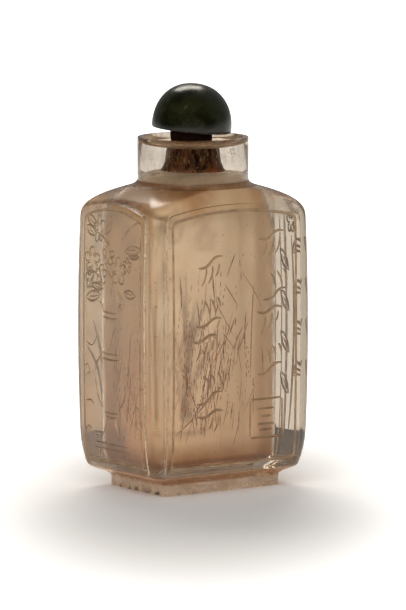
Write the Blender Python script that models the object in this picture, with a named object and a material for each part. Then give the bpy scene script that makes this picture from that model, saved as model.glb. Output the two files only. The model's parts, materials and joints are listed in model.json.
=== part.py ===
"""A small carved rock-crystal snuff bottle with a jade-capped cork stopper.

The bottle stands upright on its foot. The origin is the centre of the underside, +Z is up, and the wide
inscribed panel faces -Y. Sizes are in metres.
"""

import math
from dataclasses import dataclass

import bmesh
import bpy
from mathutils import Matrix, Vector

# Driving dimensions of the bottle
BOTTLE_HEIGHT = 0.0600
BODY_WIDTH = 0.0329
BODY_DEPTH = 0.0245
BODY_CORNER_RADIUS = 0.0020
BELLY_HEIGHT = 0.0270
BELLY_SWELL = 0.0003

FOOT_WIDTH = 0.0242
FOOT_DEPTH = 0.0168
FOOT_CORNER_RADIUS = 0.0010
FOOT_SHIFT = 0.0004
FOOT_HEIGHT = 0.0018
UNDERSIDE_RISE = 0.0020
LOWER_CURVE_HEIGHT = 0.0059
LOWER_CURVE_INSET = 0.0007

SHOULDER_HEIGHT = 0.0060
SHOULDER_SHARPNESS = 2.9
NECK_RADIUS = 0.0095
NECK_LENGTH = 0.0080
NECK_COVE_HEIGHT = 0.0009

LIP_WIDTH = 0.00095
MOUTH_DISH_DEPTH = 0.0020
BORE_RADIUS = 0.0029
BORE_LENGTH = 0.0035
THROAT_RADIUS = 0.0036
THROAT_LENGTH = 0.0004

SIDE_WALL = 0.00525
FRONT_WALL = 0.00425
FLOOR_THICKNESS = 0.0052
HOLLOW_CORNER_RADIUS = 0.0034
HOLLOW_FLOOR_ROUNDING = 0.0020
HOLLOW_DOME_HEIGHT = 0.0111
HOLLOW_DOME_SHARPNESS = 1.7

# Driving dimensions of the raised panels
PANEL_RELIEF = 0.00035
PANEL_SIDE_MARGIN = 0.00275
PANEL_FOOT_MARGIN = 0.0003
PANEL_ARCH_RISE = 0.0012
PANEL_TOP_HEIGHT = 0.0494
PANEL_TOP_CORNER_RADIUS = 0.0018
PANEL_BOTTOM_CORNER_RADIUS = 0.0008
PANEL_ROOT = 0.0015
BORDER_MARGIN = 0.00105
BORDER_GROOVE_WIDTH = 0.00032
BORDER_GROOVE_DEPTH = 0.00018

# Driving dimensions of the engraving. Its motifs are drawn on a sheet that is stretched to each panel.
STROKE_WIDTH = 0.00042
STROKE_DEPTH = 0.00020
STROKE_OVERSHOOT = 0.00006
WIDE_SHEET = (13.7, 45.0)
NARROW_SHEET = (9.5, 45.0)
LEAF_STEPS = 3
CURVE_STEPS = 4
PETAL_STEPS = 2
WAVE_STEPS = 4

# Driving dimensions of the chips along the foot's left edge
CHIP_COUNT = 4
CHIP_RADIUS = 0.0011
CHIP_BITE = 0.0004

# Driving dimensions of the stopper
CAP_RADIUS = 0.00685
CAP_HEIGHT = 0.0080
CAP_ROUNDNESS = 2.2
CAP_EDGE_ROUNDING = 0.0004
CAP_LIFT = 0.0011
CAP_SHIFT = -0.00030
CAP_TILT = math.radians(5.5)
CAP_TILT_HEADING = math.radians(-35.0)
CORK_TOP_RADIUS = 0.0036
CORK_TAPER = 0.88
CORK_LENGTH_IN_BORE = 0.0036
CORK_CHAMFER = 0.0004

# Clearances
STOPPER_GAP = 0.0003

# Facets
CORNER_STEPS = 7
BODY_RINGS = 7
SHOULDER_RINGS = 10
COVE_RINGS = 4
DISH_RINGS = 5
DOME_RINGS = 7
FLOOR_RINGS = 4
CAP_SEGMENTS = 36
CAP_RINGS = 9
CORK_SEGMENTS = 24
ARCH_STEPS = 10
PANEL_CORNER_STEPS = 3
PANEL_CURVE_STEPS = 6

# Derived heights
NECK_BASE = BOTTLE_HEIGHT - NECK_LENGTH
SHOULDER_START = NECK_BASE - SHOULDER_HEIGHT
LOWER_EDGE = FOOT_HEIGHT + UNDERSIDE_RISE
BORE_TOP = BOTTLE_HEIGHT - MOUTH_DISH_DEPTH
THROAT_TOP = BORE_TOP - BORE_LENGTH
HOLLOW_TOP = THROAT_TOP - THROAT_LENGTH
DOME_START = HOLLOW_TOP - HOLLOW_DOME_HEIGHT
CAP_BASE_HEIGHT = BOTTLE_HEIGHT + CAP_LIFT


def clear_scene():
    """Remove everything that the scene holds."""
    for item in list(bpy.data.objects):
        bpy.data.objects.remove(item, do_unlink=True)


def make_material(name, colour, roughness, transmission=0.0, ior=1.5):
    """Make a Principled material of one colour."""
    material = bpy.data.materials.new(name)
    material.use_nodes = True
    shader = material.node_tree.nodes["Principled BSDF"]
    shader.inputs["Base Color"].default_value = (*colour, 1.0)
    shader.inputs["Roughness"].default_value = roughness
    shader.inputs["Metallic"].default_value = 0.0
    shader.inputs["Transmission Weight"].default_value = transmission
    shader.inputs["IOR"].default_value = ior
    return material


def make_object(name, bm, material, sharp_angle=math.radians(35.0)):
    """Turn a bmesh into a smooth-shaded object with one material."""
    bmesh.ops.recalc_face_normals(bm, faces=bm.faces)
    mesh = bpy.data.meshes.new(name)
    bm.to_mesh(mesh)
    bm.free()
    mesh.shade_smooth()
    mesh.set_sharp_from_angle(angle=sharp_angle)
    item = bpy.data.objects.new(name, mesh)
    bpy.context.scene.collection.objects.link(item)
    if material is not None:
        item.data.materials.append(material)
    return item


def blend(start, end, share):
    """Go from start to end by a share from 0 to 1."""
    return start + (end - start) * share


def rounded_ring(half_x, half_y, radius, z):
    """Points of a level rounded rectangle, which is a circle where the sizes agree."""
    points = []
    for corner, (side_x, side_y) in enumerate(((1, 1), (-1, 1), (-1, -1), (1, -1))):
        for step in range(CORNER_STEPS):
            angle = math.radians(90.0) * (corner + (step + 0.5) / CORNER_STEPS)
            x = side_x * (half_x - radius) + radius * math.cos(angle)
            y = side_y * (half_y - radius) + radius * math.sin(angle)
            points.append(Vector((x, y, z)))
    return points


def circle_ring(radius, z):
    """Points of a level circle that match a rounded ring one by one."""
    return rounded_ring(radius, radius, radius, z)


def loft(rings):
    """Bridge a row of closed rings into one closed skin, capped at both ends."""
    bm = bmesh.new()
    loops = [[bm.verts.new(point) for point in points] for points in rings]
    for lower, upper in zip(loops, loops[1:]):
        for i in range(len(lower)):
            bm.faces.new((lower[i - 1], lower[i], upper[i], upper[i - 1]))
    bm.faces.new(loops[0])
    bm.faces.new(loops[-1])
    return bm


def swell_inset(z):
    """How far the sides have drawn in from the belly at a height."""
    reach = SHOULDER_START - BELLY_HEIGHT
    return BELLY_SWELL * ((z - BELLY_HEIGHT) / reach) ** 2


def body_inset(z):
    """The swell, with the tighter curve that closes the sides in above the underside."""
    below = max(0.0, LOWER_EDGE + LOWER_CURVE_HEIGHT - z) / LOWER_CURVE_HEIGHT
    return swell_inset(z) + LOWER_CURVE_INSET * below ** 2


def body_ring(z, share=0.0):
    """A ring of the body's side, or of the shoulder on its way to the neck."""
    half_x = blend(BODY_WIDTH / 2 - body_inset(z), NECK_RADIUS, share)
    half_y = blend(BODY_DEPTH / 2 - body_inset(z), NECK_RADIUS, share)
    return rounded_ring(half_x, half_y, blend(BODY_CORNER_RADIUS, NECK_RADIUS, share), z)


def underside_ring(z, share):
    """A ring between the body's lower edge (share 0) and the foot's side (share 1)."""
    inset = body_inset(LOWER_EDGE)
    half_x = blend(BODY_WIDTH / 2 - inset, FOOT_WIDTH / 2, share)
    half_y = blend(BODY_DEPTH / 2 - inset, FOOT_DEPTH / 2, share)
    ring = rounded_ring(half_x, half_y, blend(BODY_CORNER_RADIUS, FOOT_CORNER_RADIUS, share), z)
    return [point + Vector((FOOT_SHIFT * share, 0.0, 0.0)) for point in ring]


def outer_rings():
    """Rings of the outside, from the foot's underside up to the lip's outer edge."""
    rings = [underside_ring(0.0, 1.0), underside_ring(FOOT_HEIGHT * 0.8, 1.0)]
    cove_share = 0.9
    rings.append(underside_ring(FOOT_HEIGHT * 1.12, blend(1.0, cove_share, 0.4)))
    rings.append(underside_ring(blend(FOOT_HEIGHT, LOWER_EDGE, 0.35), 0.75))
    edge_drop = UNDERSIDE_RISE * 0.22
    rings.append(underside_ring(LOWER_EDGE - edge_drop, 0.14))
    for step in range(BODY_RINGS + 1):
        share = (step / BODY_RINGS) ** 1.5
        rings.append(body_ring(blend(LOWER_EDGE, SHOULDER_START, share)))
    cove_start = 0.93
    for step in range(1, SHOULDER_RINGS + 1):
        rise = math.sin(math.radians(90.0) * step / SHOULDER_RINGS) * cove_start
        rings.append(body_ring(SHOULDER_START + SHOULDER_HEIGHT * rise, rise ** SHOULDER_SHARPNESS))
    rings += cove_rings(cove_start)
    rings.append(circle_ring(NECK_RADIUS, BOTTLE_HEIGHT))
    return rings


def cove_rings(cove_start):
    """Rings of the small hollow curve that turns the shoulder up into the neck."""
    start = Vector((cove_start ** SHOULDER_SHARPNESS, SHOULDER_START + SHOULDER_HEIGHT * cove_start))
    middle = Vector((1.0, NECK_BASE))
    end = Vector((1.0, NECK_BASE + NECK_COVE_HEIGHT))
    rings = []
    for step in range(1, COVE_RINGS + 1):
        t = step / COVE_RINGS
        point = start * (1 - t) ** 2 + middle * (2 * t * (1 - t)) + end * t ** 2
        rings.append(body_ring(point.y, point.x))
    return rings


def hollow_ring(z, share=1.0, inset=0.0):
    """A ring of the hollow. At share 0 it has closed in to the throat's circle."""
    half_x = blend(THROAT_RADIUS, BODY_WIDTH / 2 - SIDE_WALL - inset, share)
    half_y = blend(THROAT_RADIUS, BODY_DEPTH / 2 - FRONT_WALL - inset, share)
    radius = blend(THROAT_RADIUS, max(HOLLOW_CORNER_RADIUS - inset / 2, inset), share)
    return rounded_ring(half_x, half_y, radius, z)


def inner_rings():
    """Rings of the mouth, bore and hollow, from the lip's inner edge down to the hollow's floor."""
    rings = []
    dish_radius = NECK_RADIUS - LIP_WIDTH
    for step in range(DISH_RINGS + 1):
        angle = math.radians(90.0) * step / DISH_RINGS
        radius = blend(BORE_RADIUS, dish_radius, math.cos(angle))
        rings.append(circle_ring(radius, BOTTLE_HEIGHT - MOUTH_DISH_DEPTH * math.sin(angle)))
    rings.append(circle_ring(blend(BORE_RADIUS, THROAT_RADIUS, 0.3), blend(BORE_TOP, THROAT_TOP, 0.7)))
    rings.append(circle_ring(THROAT_RADIUS, HOLLOW_TOP))
    for step in range(1, DOME_RINGS + 1):
        angle = math.radians(90.0) * (1 - step / DOME_RINGS)
        power = 2 / HOLLOW_DOME_SHARPNESS
        share = max(math.cos(angle), 0.0) ** power
        z = DOME_START + HOLLOW_DOME_HEIGHT * math.sin(angle) ** power
        rings.append(hollow_ring(z, share))
    for step in range(FLOOR_RINGS + 1):
        angle = math.radians(90.0) * step / FLOOR_RINGS
        inset = HOLLOW_FLOOR_ROUNDING * (1 - math.cos(angle))
        z = FLOOR_THICKNESS + HOLLOW_FLOOR_ROUNDING * (1 - math.sin(angle))
        rings.append(hollow_ring(z, 1.0, inset))
    return rings


def panel_levels():
    """Heights at which a panel's upright edges and face bend with the body's side."""
    low = LOWER_EDGE + PANEL_FOOT_MARGIN + BORDER_MARGIN + PANEL_BOTTOM_CORNER_RADIUS
    high = PANEL_TOP_HEIGHT - BORDER_MARGIN - PANEL_ARCH_RISE - PANEL_TOP_CORNER_RADIUS
    shares = [(step / (PANEL_CURVE_STEPS + 1)) ** 1.5 for step in range(1, PANEL_CURVE_STEPS + 1)]
    return [blend(low, high, share) for share in shares]


@dataclass(frozen=True)
class Panel:
    """One side of the body: its panel's half width, the body's half size, its turn and its drawing sheet."""

    name: str
    half_width: float
    face: float
    turn: float
    sheet: tuple

    def on_surface(self, across, up, lift=0.0):
        """A point on the panel's face, or lifted off it, before the turn to its side."""
        return Vector((across, -(self.face + PANEL_RELIEF - body_inset(up) + lift), up))

    def from_sheet(self, point):
        """Stretch a point of the drawing sheet to the panel, as (across, up)."""
        low = LOWER_EDGE + PANEL_FOOT_MARGIN
        across = point[0] / self.sheet[0] * self.half_width
        return Vector((across, low + point[1] / self.sheet[1] * (PANEL_TOP_HEIGHT - low)))

    def turned(self, bm):
        """Turn a shape made on the front to this panel's side."""
        bmesh.ops.rotate(bm, verts=bm.verts, cent=(0, 0, 0), matrix=Matrix.Rotation(self.turn, 3, "Z"))
        return bm


def make_panels():
    """The four sides, front first and then around to the left."""
    half_wide = BODY_WIDTH / 2 - PANEL_SIDE_MARGIN
    half_narrow = BODY_DEPTH / 2 - PANEL_SIDE_MARGIN
    quarter = math.radians(90.0)
    return (
        Panel("front", half_wide, BODY_DEPTH / 2, 0.0, WIDE_SHEET),
        Panel("right", half_narrow, BODY_WIDTH / 2, quarter, NARROW_SHEET),
        Panel("back", half_wide, BODY_DEPTH / 2, 2 * quarter, WIDE_SHEET),
        Panel("left", half_narrow, BODY_WIDTH / 2, 3 * quarter, NARROW_SHEET),
    )


def panel_outline(half_width, margin=0.0):
    """The arched outline of a panel in its own plane, as (across, up), shrunk by a margin."""
    half = half_width - margin
    bottom = LOWER_EDGE + PANEL_FOOT_MARGIN + margin
    top = PANEL_TOP_HEIGHT - margin
    spring = top - PANEL_ARCH_RISE
    low_radius = PANEL_BOTTOM_CORNER_RADIUS
    high_radius = max(PANEL_TOP_CORNER_RADIUS - margin / 2, low_radius)
    arch_half = half - high_radius
    arch_radius = (arch_half ** 2 + PANEL_ARCH_RISE ** 2) / (2 * PANEL_ARCH_RISE)
    right = []
    for step in range(PANEL_CORNER_STEPS + 1):
        angle = math.radians(90.0) * (step / PANEL_CORNER_STEPS - 1.0)
        centre = Vector((half - low_radius, bottom + low_radius))
        right.append(centre + low_radius * Vector((math.cos(angle), math.sin(angle))))
    for level in panel_levels():
        right.append(Vector((half, level)))
    arch_slope = math.asin(arch_half / arch_radius)
    for step in range(PANEL_CORNER_STEPS + 1):
        angle = blend(0.0, math.radians(90.0) - arch_slope, step / PANEL_CORNER_STEPS)
        centre = Vector((half - high_radius, spring - high_radius))
        right.append(centre + high_radius * Vector((math.cos(angle), math.sin(angle))))
    corner_end = right[-1]
    for step in range(1, ARCH_STEPS // 2):
        across = corner_end.x * (1 - 2 * step / ARCH_STEPS)
        shape = (1 - (across / corner_end.x) ** 2)
        right.append(Vector((across, blend(corner_end.y, top, shape))))
    left = [Vector((-point.x, point.y)) for point in reversed(right)]
    return right + [Vector((0.0, top))] + left


def panel_prism(panel):
    """A panel as an arched slab whose outer face follows the body's swell, turned to its side of the body."""
    bm = bmesh.new()
    verts = [bm.verts.new((point.x, 0.0, point.y)) for point in panel_outline(panel.half_width)]
    bm.faces.new(verts)
    for level in panel_levels():
        geometry = list(bm.verts) + list(bm.edges) + list(bm.faces)
        bmesh.ops.bisect_plane(bm, geom=geometry, plane_co=(0, 0, level), plane_no=(0, 0, 1))
    front = list(bm.verts)
    pushed = bmesh.ops.extrude_face_region(bm, geom=list(bm.faces))
    for vert in pushed["geom"]:
        if isinstance(vert, bmesh.types.BMVert):
            vert.co.y = -(panel.face - PANEL_ROOT)
    for vert in front:
        vert.co = panel.on_surface(vert.co.x, vert.co.z)
    return panel.turned(bm)


def border_cutter(panel):
    """A closed V-shaped strip that cuts the fine line inside a panel's edge."""
    bm = bmesh.new()
    loops = []
    spread = BORDER_GROOVE_WIDTH
    above = BORDER_GROOVE_DEPTH
    for offset, depth in ((0.0, -BORDER_GROOVE_DEPTH), (spread, above), (-spread, above)):
        outline = panel_outline(panel.half_width, BORDER_MARGIN + offset)
        loops.append([bm.verts.new(panel.on_surface(point.x, point.y, depth)) for point in outline])
    for ring in range(3):
        lower = loops[ring - 1]
        upper = loops[ring]
        for i in range(len(lower)):
            bm.faces.new((lower[i - 1], lower[i], upper[i], upper[i - 1]))
    return panel.turned(bm)


def bow(start, end, sag, steps=CURVE_STEPS):
    """Points of a shallow arc on the sheet. It sags to the left by a share of its length."""
    start = Vector(start)
    end = Vector(end)
    aside = (end - start).orthogonal() * sag
    shares = [step / steps for step in range(steps + 1)]
    return [start.lerp(end, share) + aside * (4 * share * (1 - share)) for share in shares]


def leaf(base, tip, width):
    """The two bowed edges of a leaf, open a little at its base and tip."""
    base = Vector(base)
    tip = Vector(tip)
    near = base.lerp(tip, 0.06)
    far = base.lerp(tip, 0.94)
    return [bow(near, tip, width, LEAF_STEPS), bow(far, base, width, LEAF_STEPS)]


def blossom(centre, radius, petals=5, turn=0.3):
    """A flower seen from the front: a ring of bowed petals."""
    centre = Vector(centre)
    lines = []
    for petal in range(petals):
        ends = []
        for side in (0.08, 0.92):
            angle = turn + math.tau * (petal + side) / petals
            ends.append(centre + 0.72 * radius * Vector((math.cos(angle), math.sin(angle))))
        lines.append(bow(ends[0], ends[1], -0.42, PETAL_STEPS))
    return lines


def mirrored(points):
    """The same line on the other side of the sheet's middle."""
    return [Vector((-point[0], point[1])) for point in points]


def vase_lines(middle):
    """A tall baluster vase on a low stand, drawn as its outline and rings."""
    neck = bow((1.9, 25.3), (1.8, 20.2), 0.0, 1)
    shoulder = bow((2.6, 19.2), (4.6, 15.6), 0.15)
    belly = bow((4.6, 15.1), (2.2, 10.2), 0.13)
    foot = bow((1.3, 9.2), (3.4, 5.0), -0.14, 3)
    lip = bow((3.3, 28.4), (2.2, 27.0), -0.1, 2)
    lines = []
    for half in (neck, shoulder, belly, foot, lip):
        lines += [half, mirrored(half)]
    for height, reach, dip in ((26.7, 2.2, 0.04), (25.8, 2.2, 0.04), (19.7, 2.6, 0.02), (9.6, 2.0, 0.04)):
        lines.append(bow((-reach, height), (reach, height), -dip, 2))
    for height, reach in ((4.2, 4.8), (3.3, 5.3)):
        lines.append(bow((-reach, height), (reach, height), 0.0, 1))
    return [[point + Vector((middle, 0.0)) for point in line] for line in lines]


def flowering_vase():
    """The left panel's motif: a vase that holds a branch with leaves and five blossoms."""
    lines = vase_lines(-0.4)
    lines.append(bow((7.4, 42.4), (2.8, 39.0), -0.08))
    lines.append(bow((-4.4, 39.8), (-0.6, 37.6), 0.06))
    lines.append(bow((-0.4, 28.0), (0.4, 32.4), 0.06, 2))
    for base, tip, width in (
        ((-2.6, 39.6), (-0.2, 43.0), 0.24),
        ((-4.6, 40.6), (-7.9, 42.8), 0.20),
        ((-5.0, 39.2), (-8.0, 40.9), 0.22),
        ((3.6, 37.4), (8.6, 38.0), 0.16),
        ((4.8, 36.6), (8.2, 36.7), 0.12),
        ((3.4, 30.4), (7.2, 30.0), 0.18),
        ((-3.2, 29.4), (-8.0, 28.6), 0.18),
        ((-2.6, 30.4), (-6.2, 31.0), 0.16),
    ):
        lines += leaf(base, tip, width)
    for centre, radius in (
        ((-1.2, 36.2), 1.7),
        ((-6.0, 35.0), 2.2),
        ((1.9, 33.8), 2.3),
        ((4.5, 35.0), 1.2),
        ((-3.2, 32.8), 1.6),
    ):
        lines += blossom(centre, radius)
    return lines


def wave(centre, half, tilt, height):
    """A long wavering stroke, level or tilted, like a drawn-out brush stroke."""
    along = Vector((math.cos(tilt), math.sin(tilt)))
    aside = Vector((-along.y, along.x))
    points = []
    for step in range(WAVE_STEPS + 1):
        share = 2 * step / WAVE_STEPS - 1
        points.append(Vector(centre) + along * (half * share) + aside * (height * math.sin(math.pi * share)))
    return points


def writing_column(middle, top, rows, pitch, phase):
    """A column of rows that are no letters: each has a long wave and three slanted dashes, above or below it."""
    lines = []
    for row in range(rows):
        lean = 1 if row % 2 else -1
        height = top - row * pitch
        sway = 0.7 * math.sin(1.9 * row + phase)
        tilt = 0.22 + 0.14 * math.sin(2.3 * row + phase)
        wave_drop = 0.0 if lean < 0 else 3.7
        lines.append(wave((middle + sway, height - wave_drop), 2.7, tilt, 0.42))
        for dash in range(3):
            start = Vector((middle + sway - 0.9 + 1.3 * dash, height - 0.9 + 0.3 * dash + 0.4 * (lean + 1)))
            reach = 2.5 + 0.7 * math.sin(1.3 * dash + 0.8 * row + phase)
            lines.append(bow(start, start + Vector((0.34 * lean, -1.0)) * reach, 0.10, LEAF_STEPS))
    return lines


def seal_lines(centre, half):
    """A square seal mark: its frame with four plain bars inside."""
    centre = Vector(centre)
    inner = half * 0.9
    lines = []
    for x, y in ((1, 0), (0, 1), (-1, 0), (0, -1)):
        side = Vector((x, y))
        along = Vector((-y, x))
        lines.append(bow(centre + side * half - along * inner, centre + side * half + along * inner, 0.0, 1))
    for rise, reach in ((0.5, 0.5), (0.1, 0.3), (-0.3, 0.5), (-0.6, 0.4)):
        middle = centre + Vector((0.0, rise * half))
        lines.append(bow(middle - Vector((reach * half, 0)), middle + Vector((reach * half, 0)), 0.0, 1))
    return lines


def inscription():
    """The front panel's motif: two columns of strokes and a seal."""
    lines = writing_column(7.6, 39.4, 4, 6.3, 0.0)
    lines += writing_column(-5.6, 35.6, 5, 6.4, 1.0)
    return lines + seal_lines((6.5, 8.4), 3.3)


def grass_clump():
    """The back panel's motif: a clump of long bowed leaves with three blossoms."""
    lines = []
    for index in range(7):
        lean = blend(-1.0, 1.0, index / 6)
        foot = (1.6 * lean, 6.0)
        tip = (8.6 * lean, 34.0 - 13.0 * abs(lean) + 3.0 * math.sin(2.0 * index))
        lines.append(bow(foot, tip, 0.16 * lean, 5))
    for centre, radius in (((-4.6, 37.4), 2.1), ((3.4, 39.2), 2.4), ((7.6, 31.0), 1.8)):
        lines += blossom(centre, radius)
    lines.append(bow((-6.4, 5.0), (6.4, 5.0), -0.03))
    return lines


def leafy_stem():
    """The right panel's motif: one upright stem with paired leaves."""
    lines = [bow((0.6, 5.0), (-0.6, 38.0), 0.04, 6)]
    for index in range(4):
        height = 11.0 + 7.0 * index
        lines += leaf((0.9, height), (5.6, height + 3.4), 0.18)
        lines += leaf((-0.9, height + 3.0), (-5.4, height + 6.0), 0.18)
    return lines


def cut_stroke(bm, panel, line):
    """Add one closed V-shaped cutter that follows a line of the sheet and runs out at both ends."""
    points = [panel.from_sheet(point) for point in line]
    sections = []
    last = len(points) - 1
    for index, point in enumerate(points):
        ahead = points[min(index + 1, last)] - points[max(index - 1, 0)]
        aside = Vector((-ahead.y, ahead.x)).normalized()
        inside = 0 < index < last
        spread = STROKE_WIDTH * (0.5 if inside or last == 1 else 0.28)
        spread *= 1 + STROKE_OVERSHOOT / STROKE_DEPTH
        deep = -STROKE_DEPTH if inside or last == 1 else -STROKE_DEPTH * 0.4
        left = panel.on_surface(point.x + aside.x * spread, point.y + aside.y * spread, STROKE_OVERSHOOT)
        right = panel.on_surface(point.x - aside.x * spread, point.y - aside.y * spread, STROKE_OVERSHOOT)
        low = panel.on_surface(point.x, point.y, deep)
        sections.append([bm.verts.new(place) for place in (left, low, right)])
    for before, after in zip(sections, sections[1:]):
        for i in range(3):
            bm.faces.new((before[i - 1], before[i], after[i], after[i - 1]))
    bm.faces.new(sections[0])
    bm.faces.new(sections[-1])


def engraving_cutter(panel, lines):
    """All strokes of a panel's motif as one set of cutters."""
    bm = bmesh.new()
    for line in lines:
        cut_stroke(bm, panel, line)
    return panel.turned(bm)


def use_cutter(item, name, bm, operation, crossing=False):
    """Join or cut a hidden helper shape with an object's Boolean modifier."""
    helper = make_object(name, bm, None)
    helper.hide_render = True
    helper.display_type = "WIRE"
    helper.parent = item
    modifier = item.modifiers.new(name, "BOOLEAN")
    modifier.operation = operation
    modifier.solver = "EXACT"
    modifier.use_self = crossing
    modifier.object = helper


def bake_cuts(item, sharp_angle=math.radians(30.0)):
    """Keep the cut shape as the object's own mesh, mark its sharp edges and remove the helpers."""
    graph = bpy.context.evaluated_depsgraph_get()
    cut = bpy.data.meshes.new_from_object(item.evaluated_get(graph))
    item.modifiers.clear()
    for helper in list(item.children):
        bpy.data.objects.remove(helper, do_unlink=True)
    cut.set_sharp_from_angle(angle=sharp_angle)
    item.data = cut


def chip_cutter(place):
    """A rough ball that bites into the foot's lower left edge, at a share of the edge's length."""
    bm = bmesh.new()
    along = blend(-0.5, 0.5, place) * (FOOT_DEPTH - 2 * FOOT_CORNER_RADIUS)
    size = CHIP_RADIUS * (0.75 + 0.35 * math.sin(9.0 * place + 1.0))
    edge = FOOT_SHIFT - FOOT_WIDTH / 2
    height = FOOT_HEIGHT * (0.35 + 0.25 * math.cos(7.0 * place))
    centre = Vector((edge + CHIP_BITE - size, along, height))
    matrix = Matrix.Translation(centre) @ Matrix.Rotation(1.3 * place + 0.2, 4, "X")
    bmesh.ops.create_icosphere(bm, subdivisions=1, radius=size, matrix=matrix)
    return bm


def make_bottle():
    """The crystal bottle, with its four raised panels, their border lines and the chips on its foot."""
    crystal = make_material("crystal", (0.86, 0.80, 0.72), 0.03, transmission=1.0, ior=1.54)
    bottle = make_object("bottle", loft(outer_rings() + inner_rings()), crystal)
    motifs = {"front": inscription, "right": leafy_stem, "back": grass_clump, "left": flowering_vase}
    panels = make_panels()
    for panel in panels:
        use_cutter(bottle, f"panel_{panel.name}", panel_prism(panel), "UNION")
    for panel in panels:
        use_cutter(bottle, f"border_{panel.name}", border_cutter(panel), "DIFFERENCE")
        strokes = engraving_cutter(panel, motifs[panel.name]())
        use_cutter(bottle, f"engraving_{panel.name}", strokes, "DIFFERENCE", crossing=True)
    for index in range(CHIP_COUNT):
        use_cutter(bottle, f"chip_{index + 1}", chip_cutter((index + 0.5) / CHIP_COUNT), "DIFFERENCE")
    bake_cuts(bottle)
    return bottle


def stopper_frame():
    """The cap's place: its base centre, and its axis leaning sideways as it rests."""
    heading = Vector((math.cos(CAP_TILT_HEADING), math.sin(CAP_TILT_HEADING), 0.0))
    centre = heading * CAP_SHIFT + Vector((0.0, 0.0, CAP_BASE_HEIGHT))
    hinge = Vector((0.0, 0.0, 1.0)).cross(heading)
    return Matrix.Translation(centre) @ Matrix.Rotation(CAP_TILT, 4, hinge)


def make_cap():
    """The domed cap, turned about its own axis and set down at its lean."""
    profile = [Vector((0.0, 0.0, 0.0)), Vector((CAP_RADIUS - CAP_EDGE_ROUNDING, 0.0, 0.0))]
    for step in range(1, CAP_RINGS + 1):
        angle = math.radians(90.0) * (step - 0.5) / CAP_RINGS
        power = 2 / CAP_ROUNDNESS
        x = CAP_RADIUS * math.cos(angle) ** power
        z = CAP_EDGE_ROUNDING + (CAP_HEIGHT - CAP_EDGE_ROUNDING) * math.sin(angle) ** power
        profile.append(Vector((x, 0.0, z)))
    profile.append(Vector((0.0, 0.0, CAP_HEIGHT)))
    bm = bmesh.new()
    verts = [bm.verts.new(point) for point in profile]
    edges = [bm.edges.new(pair) for pair in zip(verts, verts[1:])]
    bmesh.ops.spin(bm, geom=verts + edges, cent=(0, 0, 0), axis=(0, 0, 1), angle=math.tau, steps=CAP_SEGMENTS)
    bmesh.ops.remove_doubles(bm, verts=bm.verts, dist=0.000001)
    jade = make_material("jade", (0.030, 0.034, 0.012), 0.18)
    cap = make_object("stopper_cap", bm, jade)
    cap.matrix_world = stopper_frame()
    return cap


def cork_radius(height, low, high):
    """The cork's radius: wide where it fills the mouth, slim where it passes the bore."""
    slim = BORE_RADIUS - STOPPER_GAP
    if height > high:
        return CORK_TOP_RADIUS
    if height > BORE_TOP:
        return blend(slim, CORK_TOP_RADIUS, (height - BORE_TOP) / (high - BORE_TOP))
    return slim * blend(CORK_TAPER, 1.0, (height - low) / (BORE_TOP - low))


def make_cork():
    """The cork, upright in the bore and bent over to the cap's lean at its top."""
    lean = stopper_frame()
    low = BORE_TOP - CORK_LENGTH_IN_BORE
    high = BOTTLE_HEIGHT - MOUTH_DISH_DEPTH * 0.4
    top = CAP_BASE_HEIGHT - STOPPER_GAP
    heights = [low, low + CORK_CHAMFER, blend(low, BORE_TOP, 0.6), BORE_TOP, high, blend(high, top, 0.6), top]
    rings = []
    for height in heights:
        share = max(0.0, (height - BORE_TOP) / (top - BORE_TOP))
        radius = cork_radius(height, low, high)
        if height == low:
            radius -= CORK_CHAMFER
        lower = Matrix.Translation((0.0, 0.0, height))
        upper = lean @ Matrix.Translation((0.0, 0.0, height - CAP_BASE_HEIGHT))
        ring = []
        for index in range(CORK_SEGMENTS):
            angle = math.tau * index / CORK_SEGMENTS
            point = Vector((radius * math.cos(angle), radius * math.sin(angle), 0.0))
            ring.append((lower @ point).lerp(upper @ point, share))
        rings.append(ring)
    cork = make_material("cork", (0.012, 0.006, 0.004), 0.85)
    return make_object("stopper_cork", loft(rings), cork)


def main():
    """Build the bottle and its stopper."""
    clear_scene()
    make_bottle()
    make_cap()
    make_cork()


if __name__ == "__main__":
    main()
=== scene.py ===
"""A small carved rock-crystal snuff bottle with a jade-capped cork stopper, in a plain pale studio.

Sizes are in metres. The origin is the centre of the underside, +Z is up, and the wide inscribed panel
faces -Y. Motifs are drawn in millimetres on a sheet that is stretched to each panel.
"""

import json
import logging
import math
import random
from collections.abc import Iterable, Sequence
from dataclasses import dataclass, field
from enum import Enum

import bmesh
import bpy
from mathutils import Matrix, Vector, noise

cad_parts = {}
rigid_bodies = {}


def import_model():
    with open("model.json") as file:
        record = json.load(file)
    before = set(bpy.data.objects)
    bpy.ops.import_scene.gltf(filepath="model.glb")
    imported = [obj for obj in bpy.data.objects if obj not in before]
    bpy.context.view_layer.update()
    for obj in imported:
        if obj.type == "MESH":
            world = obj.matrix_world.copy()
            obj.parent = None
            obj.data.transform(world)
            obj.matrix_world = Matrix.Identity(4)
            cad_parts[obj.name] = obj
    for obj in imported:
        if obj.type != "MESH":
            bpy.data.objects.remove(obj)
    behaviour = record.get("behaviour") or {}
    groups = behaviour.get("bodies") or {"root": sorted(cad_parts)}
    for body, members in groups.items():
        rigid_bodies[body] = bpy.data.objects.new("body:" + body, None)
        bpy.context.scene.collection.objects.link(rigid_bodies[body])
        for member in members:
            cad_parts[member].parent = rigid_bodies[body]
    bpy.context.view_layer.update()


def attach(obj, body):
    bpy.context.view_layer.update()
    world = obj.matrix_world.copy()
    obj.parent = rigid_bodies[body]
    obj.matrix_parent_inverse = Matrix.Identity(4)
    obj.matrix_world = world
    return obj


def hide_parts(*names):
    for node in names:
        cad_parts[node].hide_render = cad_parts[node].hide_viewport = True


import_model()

LOG = logging.getLogger("snuff_bottle")
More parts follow.
